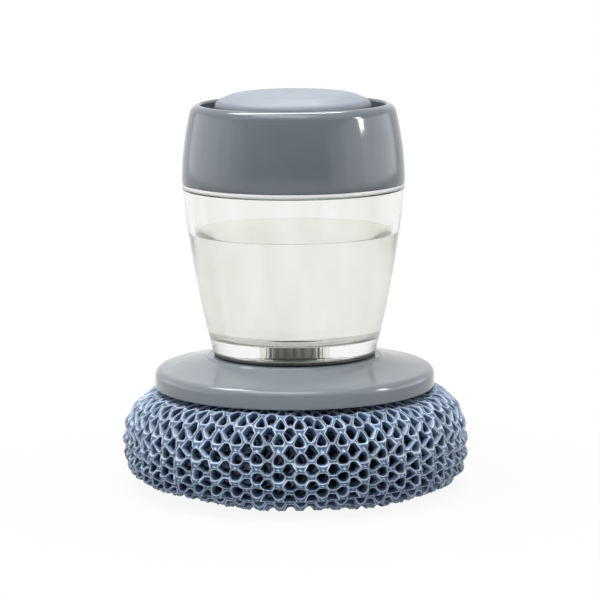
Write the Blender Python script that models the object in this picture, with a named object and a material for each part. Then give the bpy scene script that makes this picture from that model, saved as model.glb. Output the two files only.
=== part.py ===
"""Palm scourer that dispenses dish soap, as an assembly of its separate pieces.

A clear tank stands on a grey disc that carries a honeycomb mesh scourer. A grey screw cap closes the
tank and holds an air pump: the button squeezes a bellows, and the air pushes soap out through a slit
valve in the tank's floor. Metres, +Z up, resting on z = 0, with every axis of motion on x = y = 0.
"""
import math

import bmesh
import bpy
from mathutils import Matrix, Vector

# Clearances and general choices
FIT_GAP = 0.0003
CUT_OVERRUN = 0.0010
SMOOTH_ANGLE = math.radians(35)
LARGE_STEPS = 36
MIDDLE_STEPS = 26
SMALL_STEPS = 20
ROD_STEPS = 12
HOLE_STEPS = 10
PORT_STEPS = 8
CURVE_STEPS = 5
SHORT_CURVE_STEPS = 4
CORD_SIDES = 6

# Scourer: a flattened pillow of net over a pad
SCOURER_RADIUS = 0.0484
SCOURER_HEIGHT = 0.0284
SCOURER_WIDEST_LEVEL = 0.0134
SCOURER_SHOULDER_RADIUS = 0.0320
SCOURER_UPPER_POWER = 2.2
SCOURER_LOWER_POWER = 2.25
STANDING_CUT = 0.0005
NET_COLUMNS = 32
NET_ROWS = 6
NET_STRAND_WIDTH = 0.0019
NET_THICKNESS = 0.0016
NET_TOP_RADIUS = 0.0345
NET_BOTTOM_RADIUS = 0.0250
NET_OUTLINE_STEPS = 24
NET_DIP_SHARE = 1 / 3
PAD_STEPS = 4
TIE_RADIUS = 0.0032
TIE_CORD_RADIUS = 0.0008

# Base plate
PLATE_RADIUS = 0.0390
PLATE_RIM_HEIGHT = 0.0054
PLATE_EDGE_RADIUS = 0.0022
PLATE_EDGE_CHAMFER = 0.0006
PLATE_RISE = 0.0034
PLATE_SLOPE_END_DROP = 0.0005
PLATE_SEAT_MARGIN = 0.0013
PLATE_WALL = 0.0021
SOCKET_WALL = 0.0025
RIB_COUNT = 6
RIB_WIDTH = 0.0015
RIB_DEPTH = 0.0044
RIB_SINK_SHARE = 0.6
BOSS_COUNT = 3
BOSS_RADIUS = 0.0025
BOSS_CIRCLE_RADIUS = 0.0157

# Nozzle hub, its screws and the clamp of the net
HUB_FLANGE_RADIUS = 0.0188
HUB_FLANGE_THICKNESS = 0.0016
HUB_SPIGOT_WALL = 0.0015
HUB_BARREL_RADIUS = 0.0090
HUB_BARREL_LENGTH = 0.0126
HUB_FOOT_RADIUS = 0.0115
HUB_FOOT_THICKNESS = 0.0014
HUB_FUNNEL_RADIUS = 0.0080
HUB_FUNNEL_DEPTH = 0.0070
NOZZLE_RADIUS = 0.0018
SIDE_HOLE_COUNT = 4
SIDE_HOLE_RADIUS = 0.0010
SCREW_SHANK_RADIUS = 0.0009
SCREW_LENGTH = 0.0055
SCREW_HEAD_RADIUS = 0.0020
SCREW_HEAD_HEIGHT = 0.0014
SCREW_HEAD_TOP_SHARE = 0.7
CLAMP_WIDTH = 0.0022
CLAMP_THICKNESS = 0.0016
CLAMP_DROP = 0.0058
NET_NECK_THICKNESS = 0.0004

# Tank
FOOT_GASKET_THICKNESS = 0.0006
TANK_FOOT_RADIUS = 0.0229
TANK_SHOULDER_RADIUS = 0.03075
TANK_BELLY = 0.0009
TANK_HEIGHT = 0.0460
TANK_WALL = 0.0020
TANK_FLOOR_THICKNESS = 0.0042
TANK_FOOT_RING_WIDTH = 0.0018
TANK_FOOT_RECESS = 0.0006
TANK_FOOT_EDGE = 0.0008
TANK_CORNER_RADIUS = 0.0030
TANK_SHOULDER_SLOPE = 0.0033
TANK_SIDE_STEPS = 6
TANK_CORNER_FIRST_ANGLE = -30
NECK_STEP = 0.0042
NECK_WALL = 0.0022
NECK_HEIGHT = 0.00785
OUTLET_LENGTH = 0.0077
OUTLET_RADIUS = 0.0108
OUTLET_WALL = 0.0020
OUTLET_HOLE_RADIUS = 0.0064
OUTLET_LEDGE = 0.0033
OUTLET_HOLE_CHAMFER = 0.0006

# Valve in the tank's outlet, and the ring that holds it
VALVE_FLANGE_THICKNESS = 0.0014
VALVE_COLLAR_WALL = 0.0012
VALVE_MEMBRANE_THICKNESS = 0.0008
VALVE_MEMBRANE_SAG = 0.0016
VALVE_SLIT_LENGTH = 0.0070
VALVE_SLIT_WIDTH = 0.0004
VALVE_MEMBRANE_SHARES = (0, 0.35, 0.7, 1)
RETAINER_WALL = 0.0016
RETAINER_INSET = 0.0003

# Cap
MOUTH_GASKET_THICKNESS = 0.0005
MOUTH_GASKET_INSET = 0.0002
CAP_PROUD = 0.0002
CAP_TAPER = 0.0022
CAP_BELLY = 0.0005
CAP_HEIGHT = 0.0217
CAP_EDGE = 0.0004
CAP_LIP_WIDTH = 0.0027
CAP_LIP_HEIGHT = 0.0033
CAP_LIP_FIRST_ANGLE = 18
CAP_OPENING_INSET = 0.0031
CAP_LIP_DEPTH = 0.0052
CAP_LIP_INNER_EDGE = 0.0009
THREAD_ROOM = 0.0007

# Pump floor: closes the tank's mouth and guides the plunger
PUMP_FLOOR_THICKNESS = 0.0026
PLUG_DEPTH = 0.0048
PLUG_WALL = 0.0039
SEAL_CORD_RADIUS = 0.00085
SEAL_GROOVE_LEVEL_SHARE = 0.5
GUIDE_WALL = 0.0026
GUIDE_TOP_HEIGHT = 0.0017
GUIDE_BOTTOM_DEPTH = 0.0026

# Button, plunger, bellows and spring
BUTTON_SURROUND = 0.0040
BUTTON_WALL = 0.0018
BUTTON_DOME = 0.0026
BUTTON_DOME_POWER = 2.6
BUTTON_EDGE_RADIUS = 0.0022
BUTTON_SKIRT = 0.0078
BUTTON_TRAVEL = 0.0050
BUTTON_STOP_GAP = 0.0005
BUTTON_EDGE_FIRST_ANGLE = 72
BUTTON_DOME_SHARES = (0, 0.25, 0.5, 0.75)
BUTTON_CEILING_SHARES = (1, 0.8, 0.5, 0)
PLUNGER_THICKNESS = 0.0013
STEM_RADIUS = 0.0033
STEM_HOOK_WIDTH = 0.0012
STEM_HOOK_HEIGHT = 0.0017
STEM_SLOT_WIDTH = 0.0012
STEM_SLOT_LENGTH = 0.0100
BELLOWS_WALL = 0.0007
BELLOWS_FOOT_INSET = 0.0005
BELLOWS_TOP_ROOM = 0.0010
BELLOWS_OUTER_SHARE = 0.935
BELLOWS_INNER_SHARE = 0.645
BELLOWS_END_SHARE = 0.755
BELLOWS_TIPS = 3
BELLOWS_TIP_SHARES = (0.3, 0.7)
RING_THICKNESS = 0.0012
SPRING_RADIUS = 0.0080
SPRING_WIRE_RADIUS = 0.0005
SPRING_TURNS = 4.5
SPRING_POINTS_PER_TURN = 10

# Levels, from the ground up, worked out from the sizes above
PLATE_UNDERSIDE = SCOURER_HEIGHT + FIT_GAP
PLATE_CREST = PLATE_UNDERSIDE + PLATE_RIM_HEIGHT
PLATE_SEAT = PLATE_CREST + PLATE_RISE
FOOT_GASKET_LEVEL = PLATE_SEAT + FIT_GAP
TANK_FOOT = FOOT_GASKET_LEVEL + FOOT_GASKET_THICKNESS + FIT_GAP
TANK_FLOOR = TANK_FOOT + TANK_FLOOR_THICKNESS
TANK_SHOULDER = TANK_FOOT + TANK_HEIGHT
NECK_TOP = TANK_SHOULDER + NECK_HEIGHT
OUTLET_BOTTOM = TANK_FOOT - OUTLET_LENGTH
MOUTH_GASKET_LEVEL = TANK_SHOULDER + FIT_GAP
CAP_BOTTOM = MOUTH_GASKET_LEVEL + MOUTH_GASKET_THICKNESS + FIT_GAP
CAP_TOP = CAP_BOTTOM + CAP_HEIGHT
PUMP_FLOOR = NECK_TOP + FIT_GAP
PUMP_FLOOR_TOP = PUMP_FLOOR + PUMP_FLOOR_THICKNESS
BUTTON_SKIRT_BOTTOM = PUMP_FLOOR_TOP + BUTTON_TRAVEL + BUTTON_STOP_GAP
BUTTON_EDGE_LEVEL = BUTTON_SKIRT_BOTTOM + BUTTON_SKIRT
PLUNGER_TOP = BUTTON_EDGE_LEVEL - BUTTON_WALL - FIT_GAP
PLUNGER_UNDERSIDE = PLUNGER_TOP - PLUNGER_THICKNESS

# Radii that follow from fits
PLATE_SEAT_RADIUS = TANK_FOOT_RADIUS + PLATE_SEAT_MARGIN
NECK_RADIUS = TANK_SHOULDER_RADIUS - NECK_STEP
CAP_RADIUS = TANK_SHOULDER_RADIUS + CAP_PROUD
CAP_TOP_RADIUS = CAP_RADIUS - CAP_TAPER
CAP_OPENING_RADIUS = CAP_TOP_RADIUS - CAP_OPENING_INSET
BUTTON_RADIUS = CAP_OPENING_RADIUS - BUTTON_SURROUND
SOCKET_RADIUS = OUTLET_RADIUS + FIT_GAP * 2
OUTLET_BORE_RADIUS = OUTLET_RADIUS - OUTLET_WALL
VALVE_RADIUS = OUTLET_BORE_RADIUS - FIT_GAP
NECK_BORE_RADIUS = NECK_RADIUS - NECK_WALL
CAP_BORE_RADIUS = NECK_RADIUS + THREAD_ROOM
PLUG_RADIUS = NECK_BORE_RADIUS - FIT_GAP
SCREW_HOLE_RADIUS = SCREW_SHANK_RADIUS + FIT_GAP
GUIDE_RADIUS = STEM_RADIUS + FIT_GAP
PLUNGER_RADIUS = BUTTON_RADIUS - BUTTON_WALL - FIT_GAP
BELLOWS_END_RADIUS = PLUNGER_RADIUS * BELLOWS_END_SHARE


def clear_scene():
    """Remove what the file holds."""
    for old in list(bpy.data.objects):
        bpy.data.objects.remove(old)


def plastic(name, colour, roughness, transmission=0.0):
    """A Principled material in the piece's own colour."""
    look = bpy.data.materials.new(name)
    look.use_nodes = True
    shader = look.node_tree.nodes["Principled BSDF"]
    shader.inputs["Base Color"].default_value = (*colour, 1.0)
    shader.inputs["Roughness"].default_value = roughness
    shader.inputs["Metallic"].default_value = 0.0
    shader.inputs["Transmission Weight"].default_value = transmission
    look.diffuse_color = (*colour, 1.0)
    return look


def steel(name):
    """Bright spring and screw steel."""
    look = plastic(name, (0.62, 0.62, 0.60), 0.3)
    look.node_tree.nodes["Principled BSDF"].inputs["Metallic"].default_value = 1.0
    return look


def axis_empty(name, level):
    """A parent on the axis of a moving group."""
    empty = bpy.data.objects.new(name, None)
    empty.location = (0, 0, level)
    bpy.context.collection.objects.link(empty)
    return empty


def finish_piece(name, mesh_data, look, seat, parent=None):
    """Turn a bmesh drawn in world heights into an object whose origin is at its seat."""
    bmesh.ops.translate(mesh_data, verts=mesh_data.verts, vec=(0, 0, -seat))
    bmesh.ops.recalc_face_normals(mesh_data, faces=mesh_data.faces)
    mesh = bpy.data.meshes.new(name)
    mesh_data.to_mesh(mesh)
    mesh_data.free()
    mesh.shade_smooth()
    mesh.set_sharp_from_angle(angle=SMOOTH_ANGLE)
    mesh.materials.append(look)
    piece = bpy.data.objects.new(name, mesh)
    bpy.context.collection.objects.link(piece)
    if parent is None:
        piece.location = (0, 0, seat)
    else:
        piece.parent = parent
        piece.location = (0, 0, seat - parent.location.z)
    return piece


def spun_mesh(outline, steps):
    """Revolve an outline of (radius, height) points; one that starts and ends on the axis stays open."""
    mesh_data = bmesh.new()
    corners = [mesh_data.verts.new((radius, 0, height)) for radius, height in outline]
    edges = [mesh_data.edges.new(pair) for pair in zip(corners[:-1], corners[1:])]
    if outline[0][0] > 0:
        edges.append(mesh_data.edges.new((corners[-1], corners[0])))
    bmesh.ops.spin(mesh_data, geom=corners + edges, cent=(0, 0, 0), axis=(0, 0, 1), dvec=(0, 0, 0),
                   angle=math.tau, steps=steps, use_merge=True, use_normal_flip=False,
                   use_duplicate=False)
    bmesh.ops.remove_doubles(mesh_data, verts=mesh_data.verts, dist=FIT_GAP / 1000)
    return mesh_data


def spun(name, outline, steps, look, seat, parent=None):
    """A turned piece."""
    return finish_piece(name, spun_mesh(outline, steps), look, seat, parent)


def arc(centre, radii, start, end, steps, power=2.0):
    """Points along a stretch of a (super)ellipse, between two angles in degrees."""
    points = []
    for step in range(steps + 1):
        angle = math.radians(start + (end - start) * step / steps)
        across, up = math.cos(angle), math.sin(angle)
        points.append((centre[0] + radii[0] * math.copysign(abs(across) ** (2 / power), across),
                       centre[1] + radii[1] * math.copysign(abs(up) ** (2 / power), up)))
    return points


def cord_section(centre, radius):
    """The outline of a round cord or O-ring, cut through."""
    last = 360 - 360 / CORD_SIDES
    return arc(centre, (radius, radius), 0, last, CORD_SIDES - 1)


def bowed(start, end, belly, steps):
    """Points from start to end, swelling outwards by belly halfway."""
    points = []
    for step in range(steps + 1):
        share = step / steps
        points.append((start[0] + (end[0] - start[0]) * share + belly * 4 * share * (1 - share),
                       start[1] + (end[1] - start[1]) * share))
    return points


def thick_line(points, thickness):
    """The closed outline of a wall of even thickness along a line of (radius, height) points."""
    sides = ([], [])
    for index, point in enumerate(points):
        before = Vector(points[max(index - 1, 0)])
        after = Vector(points[min(index + 1, len(points) - 1)])
        normal = (after - before).normalized().orthogonal()
        for side, sign in zip(sides, (1, -1)):
            offset = Vector(point) + normal * (sign * thickness / 2)
            side.append((offset.x, offset.y))
    return sides[0] + sides[1][::-1]


def rod_mesh(radius, low, high, steps, place=(0, 0), lean=None):
    """A plain rod for cuts and bosses, upright at place, or turned by the matrix lean."""
    mesh_data = bmesh.new()
    bmesh.ops.create_cone(mesh_data, cap_ends=True, segments=steps, radius1=radius, radius2=radius,
                          depth=high - low)
    bmesh.ops.translate(mesh_data, verts=mesh_data.verts, vec=(*place, (low + high) / 2))
    if lean is not None:
        bmesh.ops.transform(mesh_data, matrix=lean, verts=mesh_data.verts)
    return mesh_data


def prism_mesh(corners, width):
    """A flat plate that stands on edge: an outline in x and z, extruded by width along y."""
    mesh_data = bmesh.new()
    face = mesh_data.faces.new([mesh_data.verts.new((x, -width / 2, z)) for x, z in corners])
    pushed = bmesh.ops.extrude_face_region(mesh_data, geom=[face])["geom"]
    moved = [item for item in pushed if isinstance(item, bmesh.types.BMVert)]
    bmesh.ops.translate(mesh_data, verts=moved, vec=(0, width, 0))
    return mesh_data


def gathered(parts):
    """Join several small meshes, each with the angle it is turned to about the axis."""
    whole = bmesh.new()
    for mesh_data, angle in parts:
        bmesh.ops.rotate(mesh_data, verts=mesh_data.verts, cent=(0, 0, 0),
                         matrix=Matrix.Rotation(angle, 3, "Z"))
        bmesh.ops.recalc_face_normals(mesh_data, faces=mesh_data.faces)
        mesh = bpy.data.meshes.new("part of a tool")
        mesh_data.to_mesh(mesh)
        mesh_data.free()
        whole.from_mesh(mesh)
        bpy.data.meshes.remove(mesh)
    return whole


def apply_tool(piece, name, mesh_data, operation):
    """Cut or join a piece with a helper shape that the build leaves out."""
    mesh = bpy.data.meshes.new(name)
    mesh_data.to_mesh(mesh)
    mesh_data.free()
    tool = bpy.data.objects.new(name, mesh)
    bpy.context.collection.objects.link(tool)
    tool.display_type = "WIRE"
    tool.hide_render = True
    step = piece.modifiers.new(name, "BOOLEAN")
    step.operation = operation
    step.solver = "EXACT"
    step.object = tool


def around(count, first=0.0):
    """Even angles about the axis."""
    return [first + math.tau * index / count for index in range(count)]


def pillow(inset, top_radius, bottom_radius, steps):
    """The scourer's outline from under the plate, out round its side and in along the ground."""
    upper = (SCOURER_RADIUS - SCOURER_SHOULDER_RADIUS - inset,
             SCOURER_HEIGHT - SCOURER_WIDEST_LEVEL - inset)
    lower = (upper[0], SCOURER_WIDEST_LEVEL + STANDING_CUT - inset)
    centre = (SCOURER_SHOULDER_RADIUS, SCOURER_WIDEST_LEVEL)
    across = max(0, (top_radius - centre[0]) / upper[0]) ** (SCOURER_UPPER_POWER / 2)
    points = arc(centre, upper, math.degrees(math.acos(across)), 0, steps, SCOURER_UPPER_POWER)
    points += arc(centre, lower, 0, -90, steps, SCOURER_LOWER_POWER)[1:]
    return points + [(bottom_radius, points[-1][1])]


def along(points, length):
    """The place on a line of points at a length from its start."""
    for start, end in zip(points[:-1], points[1:]):
        step = math.dist(start, end)
        if length <= step:
            share = length / step
            return (start[0] + (end[0] - start[0]) * share, start[1] + (end[1] - start[1]) * share)
        length -= step
    return points[-1]


def build_net(look):
    """The honeycomb net: hexagons laid over the pillow, opened by insetting each one."""
    outline = pillow(0, NET_TOP_RADIUS, NET_BOTTOM_RADIUS, NET_OUTLINE_STEPS)
    length = sum(math.dist(*pair) for pair in zip(outline[:-1], outline[1:]))
    row_pitch = length / (NET_ROWS + NET_DIP_SHARE)
    net = bmesh.new()
    rings = []
    for level in range(NET_ROWS + 1):
        ring = []
        for half in range(NET_COLUMNS * 2):
            dips = (half + level) % 2 == 0
            radius, height = along(outline, row_pitch * (level + (0 if dips else NET_DIP_SHARE)))
            angle = math.tau * half / (NET_COLUMNS * 2)
            ring.append(net.verts.new((radius * math.cos(angle), radius * math.sin(angle), height)))
        rings.append(ring)
    cells = []
    for level in range(NET_ROWS):
        for column in range(NET_COLUMNS):
            middle = column * 2 + level % 2
            left, right = middle - 1, (middle + 1) % (NET_COLUMNS * 2)
            upper, lower = rings[level], rings[level + 1]
            cells.append(net.faces.new((upper[left], upper[middle], upper[right],
                                        lower[right], lower[middle], lower[left])))
    bmesh.ops.recalc_face_normals(net, faces=net.faces)
    bmesh.ops.inset_individual(net, faces=cells, thickness=NET_STRAND_WIDTH / 2, use_even_offset=True)
    bmesh.ops.delete(net, geom=cells, context="FACES")
    bmesh.ops.solidify(net, geom=net.faces, thickness=NET_THICKNESS)
    for corner in net.verts:
        corner.co.z = max(corner.co.z, 0)
    return finish_piece("scourer_net", net, look, SCOURER_WIDEST_LEVEL)


def build_core(look):
    """The pad of crumpled mesh inside the net, hollowed for the hub, its screws and the tie."""
    inset = NET_THICKNESS + FIT_GAP
    hub_room = HUB_FLANGE_RADIUS + FIT_GAP
    top = SCOURER_HEIGHT - inset
    flange_room = PLATE_UNDERSIDE - HUB_FLANGE_THICKNESS - SCREW_HEAD_HEIGHT - FIT_GAP
    foot_room = flange_room - HUB_BARREL_LENGTH
    barrel_room = HUB_FOOT_RADIUS + FIT_GAP
    bottom = inset - STANDING_CUT + FIT_GAP
    tie_room = bottom + (TIE_CORD_RADIUS + FIT_GAP) * 2
    outline = [(0, foot_room), (barrel_room, foot_room), (barrel_room, flange_room),
               (hub_room, flange_room), (hub_room, top)]
    outline += pillow(inset, SCOURER_SHOULDER_RADIUS, TIE_RADIUS * 2, PAD_STEPS)
    outline = [(radius, max(height, bottom)) for radius, height in outline]
    outline += [(TIE_RADIUS * 2, tie_room), (0, tie_room)]
    return spun("scourer_core", outline, MIDDLE_STEPS, look, bottom)


def build_tie(look):
    """The cord that draws the net together underneath."""
    level = NET_THICKNESS - STANDING_CUT + FIT_GAP * 2 + TIE_CORD_RADIUS
    outline = cord_section((TIE_RADIUS, level), TIE_CORD_RADIUS)
    return spun("net_tie", outline, SMALL_STEPS, look, level)


def build_plate(look):
    """The glossy disc: a rounded rim, a slope up to the tank's seat, and ribs underneath."""
    edge = PLATE_RADIUS - PLATE_EDGE_RADIUS
    slope_end = PLATE_SEAT - PLATE_SLOPE_END_DROP
    socket_outer = SOCKET_RADIUS + SOCKET_WALL
    under_seat = PLATE_SEAT - PLATE_WALL
    outline = [(PLATE_RADIUS - PLATE_WALL, PLATE_UNDERSIDE),
               (PLATE_RADIUS - PLATE_EDGE_CHAMFER, PLATE_UNDERSIDE),
               (PLATE_RADIUS, PLATE_UNDERSIDE + PLATE_EDGE_CHAMFER)]
    outline += arc((edge, PLATE_CREST - PLATE_EDGE_RADIUS), (PLATE_EDGE_RADIUS, PLATE_EDGE_RADIUS),
                   0, 90, CURVE_STEPS)
    outline += [(PLATE_SEAT_RADIUS + PLATE_SLOPE_END_DROP, slope_end), (PLATE_SEAT_RADIUS, PLATE_SEAT),
                (SOCKET_RADIUS, PLATE_SEAT), (SOCKET_RADIUS, PLATE_UNDERSIDE + FIT_GAP),
                (socket_outer, PLATE_UNDERSIDE + FIT_GAP), (socket_outer, under_seat),
                (PLATE_SEAT_RADIUS, under_seat), (edge - PLATE_WALL / 2, PLATE_CREST - PLATE_WALL),
                (PLATE_RADIUS - PLATE_WALL, PLATE_CREST - PLATE_EDGE_RADIUS)]
    plate = spun("base_plate", outline, LARGE_STEPS, look, PLATE_UNDERSIDE)
    apply_tool(plate, "plate_ribs", rib_tool(socket_outer), "UNION")
    bosses = [(rod_mesh(BOSS_RADIUS, PLATE_UNDERSIDE + FIT_GAP, under_seat + PLATE_WALL / 2, ROD_STEPS,
                        (BOSS_CIRCLE_RADIUS, 0)), angle) for angle in around(BOSS_COUNT)]
    apply_tool(plate, "plate_bosses", gathered(bosses), "UNION")
    holes = [(rod_mesh(SCREW_HOLE_RADIUS, PLATE_UNDERSIDE - CUT_OVERRUN,
                       PLATE_UNDERSIDE + SCREW_LENGTH, HOLE_STEPS, (BOSS_CIRCLE_RADIUS, 0)), angle)
             for angle in around(BOSS_COUNT)]
    apply_tool(plate, "boss_holes", gathered(holes), "DIFFERENCE")
    return plate


def rib_tool(socket_outer):
    """The ribs under the plate, from the socket's wall out to the rim."""
    inner = socket_outer - SOCKET_WALL / 2
    outer = PLATE_RADIUS - PLATE_WALL * RIB_SINK_SHARE
    top = PLATE_SEAT - PLATE_WALL * RIB_SINK_SHARE
    bottom = PLATE_SEAT - PLATE_WALL - RIB_DEPTH
    side = [(inner, bottom), (outer, bottom), (outer, PLATE_CREST - PLATE_EDGE_RADIUS),
            (PLATE_RADIUS - PLATE_EDGE_RADIUS, PLATE_CREST - PLATE_WALL / 2),
            (PLATE_SEAT_RADIUS, top), (inner, top)]
    ribs = [(prism_mesh(side, RIB_WIDTH), angle) for angle in around(RIB_COUNT, math.pi / RIB_COUNT)]
    return gathered(ribs)


def build_hub(look):
    """The hub under the plate: a funnel and nozzle, and the barrel that the net is gathered on."""
    top = PLATE_UNDERSIDE
    flange_bottom = top - HUB_FLANGE_THICKNESS
    barrel_bottom = flange_bottom - HUB_BARREL_LENGTH
    foot_bottom = barrel_bottom - HUB_FOOT_THICKNESS
    spigot_outer = SOCKET_RADIUS - FIT_GAP
    spigot_top = OUTLET_BOTTOM - FIT_GAP
    outline = [(NOZZLE_RADIUS, foot_bottom), (HUB_FOOT_RADIUS, foot_bottom),
               (HUB_FOOT_RADIUS, barrel_bottom), (HUB_BARREL_RADIUS, barrel_bottom),
               (HUB_BARREL_RADIUS, flange_bottom), (HUB_FLANGE_RADIUS, flange_bottom),
               (HUB_FLANGE_RADIUS, top), (spigot_outer, top), (spigot_outer, spigot_top),
               (spigot_outer - HUB_SPIGOT_WALL, spigot_top), (spigot_outer - HUB_SPIGOT_WALL, top),
               (HUB_FUNNEL_RADIUS, top), (NOZZLE_RADIUS, top - HUB_FUNNEL_DEPTH)]
    hub = spun("nozzle_hub", outline, SMALL_STEPS, look, top)
    holes = [(rod_mesh(SCREW_HOLE_RADIUS, flange_bottom - CUT_OVERRUN, top + CUT_OVERRUN, HOLE_STEPS,
                       (BOSS_CIRCLE_RADIUS, 0)), angle) for angle in around(BOSS_COUNT)]
    apply_tool(hub, "screw_holes", gathered(holes), "DIFFERENCE")
    outlet_level = (barrel_bottom + top - HUB_FUNNEL_DEPTH) / 2
    lean = Matrix.Translation((0, 0, outlet_level)) @ Matrix.Rotation(math.pi / 2, 4, "Y")
    ports = [(rod_mesh(SIDE_HOLE_RADIUS, NOZZLE_RADIUS - FIT_GAP, HUB_BARREL_RADIUS + CUT_OVERRUN,
                       PORT_STEPS, lean=lean), angle) for angle in around(SIDE_HOLE_COUNT)]
    apply_tool(hub, "side_ports", gathered(ports), "DIFFERENCE")
    return hub


def build_screws(look):
    """The three screws that hold the hub to the plate's bosses."""
    seat = PLATE_UNDERSIDE - HUB_FLANGE_THICKNESS - FIT_GAP
    tip = PLATE_UNDERSIDE + SCREW_LENGTH - FIT_GAP
    head_bottom = seat - SCREW_HEAD_HEIGHT
    outline = [(0, head_bottom), (SCREW_HEAD_RADIUS * SCREW_HEAD_TOP_SHARE, head_bottom),
               (SCREW_HEAD_RADIUS, seat - SCREW_HEAD_HEIGHT / 2), (SCREW_HEAD_RADIUS, seat),
               (SCREW_SHANK_RADIUS, seat), (SCREW_SHANK_RADIUS, tip - SCREW_SHANK_RADIUS), (0, tip)]
    first = spun("hub_screw_1", outline, ROD_STEPS, look, seat)
    for number, angle in enumerate(around(BOSS_COUNT), start=1):
        screw = first if number == 1 else bpy.data.objects.new(f"hub_screw_{number}", first.data)
        if number > 1:
            bpy.context.collection.objects.link(screw)
        screw.location = (BOSS_CIRCLE_RADIUS * math.cos(angle), BOSS_CIRCLE_RADIUS * math.sin(angle), seat)


def build_net_clamp(look):
    """The ring that holds the net's gathered neck on the hub's barrel."""
    level = PLATE_UNDERSIDE - HUB_FLANGE_THICKNESS - CLAMP_DROP
    inner = HUB_BARREL_RADIUS + NET_NECK_THICKNESS
    outer = inner + CLAMP_THICKNESS
    ease = CLAMP_THICKNESS / 3
    outline = [(inner, level), (outer - ease, level), (outer, level + ease),
               (outer, level + CLAMP_WIDTH - ease), (outer - ease, level + CLAMP_WIDTH),
               (inner, level + CLAMP_WIDTH)]
    return spun("net_clamp", outline, SMALL_STEPS, look, level)


def flat_ring(name, inner, outer, level, thickness, look, parent):
    """A flat gasket."""
    outline = [(inner, level), (outer, level), (outer, level + thickness), (inner, level + thickness)]
    return spun(name, outline, LARGE_STEPS, look, level, parent)


def build_tank(look, parent):
    """The clear tank: thick foot, flared belly, shoulder, screw neck and the outlet underneath."""
    outer_foot = (TANK_FOOT_RADIUS, TANK_FOOT + TANK_FOOT_EDGE)
    outer_top = (TANK_SHOULDER_RADIUS, TANK_SHOULDER)
    corner = TANK_FLOOR + TANK_CORNER_RADIUS
    slope = (TANK_SHOULDER_RADIUS - TANK_FOOT_RADIUS) / TANK_HEIGHT
    inner_foot_radius = TANK_FOOT_RADIUS - TANK_WALL + slope * TANK_FLOOR_THICKNESS
    shoulder_inside = TANK_SHOULDER - TANK_SHOULDER_SLOPE
    foot_recess = TANK_FOOT + TANK_FOOT_RECESS
    ring_inner = TANK_FOOT_RADIUS - TANK_FOOT_EDGE - TANK_FOOT_RING_WIDTH
    ledge = TANK_FLOOR - OUTLET_LEDGE
    outline = [(OUTLET_BORE_RADIUS, OUTLET_BOTTOM), (OUTLET_RADIUS, OUTLET_BOTTOM),
               (OUTLET_RADIUS, foot_recess), (ring_inner, foot_recess), (ring_inner, TANK_FOOT),
               (TANK_FOOT_RADIUS - TANK_FOOT_EDGE, TANK_FOOT)]
    outline += bowed(outer_foot, outer_top, TANK_BELLY, TANK_SIDE_STEPS)
    outline += [(NECK_RADIUS, TANK_SHOULDER), (NECK_RADIUS, NECK_TOP), (NECK_BORE_RADIUS, NECK_TOP),
                (NECK_BORE_RADIUS, TANK_SHOULDER)]
    outline += bowed((TANK_SHOULDER_RADIUS - TANK_WALL - slope * TANK_SHOULDER_SLOPE, shoulder_inside),
                     (inner_foot_radius, corner), TANK_BELLY, SHORT_CURVE_STEPS)
    outline += arc((inner_foot_radius - TANK_CORNER_RADIUS, corner),
                   (TANK_CORNER_RADIUS, TANK_CORNER_RADIUS), TANK_CORNER_FIRST_ANGLE, -90, 2)
    outline += [(OUTLET_HOLE_RADIUS + OUTLET_HOLE_CHAMFER, TANK_FLOOR),
                (OUTLET_HOLE_RADIUS, TANK_FLOOR - OUTLET_HOLE_CHAMFER),
                (OUTLET_HOLE_RADIUS, ledge), (OUTLET_BORE_RADIUS, ledge)]
    return spun("tank", outline, LARGE_STEPS, look, TANK_FOOT, parent)


def build_outlet_valve(look, parent):
    """The soft valve: a sagging membrane with a cross slit, a thick flange and a collar in the hole."""
    top = TANK_FLOOR - OUTLET_LEDGE - FIT_GAP
    bottom = top - VALVE_FLANGE_THICKNESS
    sag = VALVE_MEMBRANE_SAG
    collar = OUTLET_HOLE_RADIUS - FIT_GAP
    membrane = collar - VALVE_COLLAR_WALL
    collar_top = TANK_FLOOR - FIT_GAP
    upper = [(membrane * share, top - sag * (1 - share ** 2)) for share in VALVE_MEMBRANE_SHARES]
    lower = [(radius, height - VALVE_MEMBRANE_THICKNESS) for radius, height in upper]
    lower[-1] = (membrane, bottom)
    outline = upper + [(membrane, collar_top), (collar, collar_top), (collar, top),
                       (VALVE_RADIUS, top), (VALVE_RADIUS, bottom)] + lower[::-1]
    valve = spun("outlet_valve", outline, SMALL_STEPS, look, top, parent)
    reach, half = VALVE_SLIT_LENGTH / 2, VALVE_SLIT_WIDTH / 2
    quarter = [(reach, -half), (reach, half), (half, half)]
    cross = []
    for turn in range(4):
        rotation = Matrix.Rotation(math.pi / 2 * turn, 2)
        cross += [tuple(rotation @ Vector(point)) for point in quarter]
    slit = prism_mesh(cross, VALVE_FLANGE_THICKNESS + sag * 4)
    bmesh.ops.rotate(slit, verts=slit.verts, cent=(0, 0, 0), matrix=Matrix.Rotation(math.pi / 2, 3, "X"))
    bmesh.ops.translate(slit, verts=slit.verts, vec=(0, 0, top - sag))
    apply_tool(valve, "valve_slit", gathered([(slit, 0)]), "DIFFERENCE")
    return valve


def build_valve_retainer(look, parent):
    """The sleeve that is pushed into the outlet and holds the valve against its ledge."""
    top = TANK_FLOOR - OUTLET_LEDGE - VALVE_FLANGE_THICKNESS - FIT_GAP * 2
    bottom = OUTLET_BOTTOM + RETAINER_INSET
    inner = VALVE_RADIUS - RETAINER_WALL
    outline = [(inner, bottom), (VALVE_RADIUS, bottom), (VALVE_RADIUS, top), (inner, top)]
    return spun("valve_retainer", outline, SMALL_STEPS, look, bottom, parent)


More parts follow.
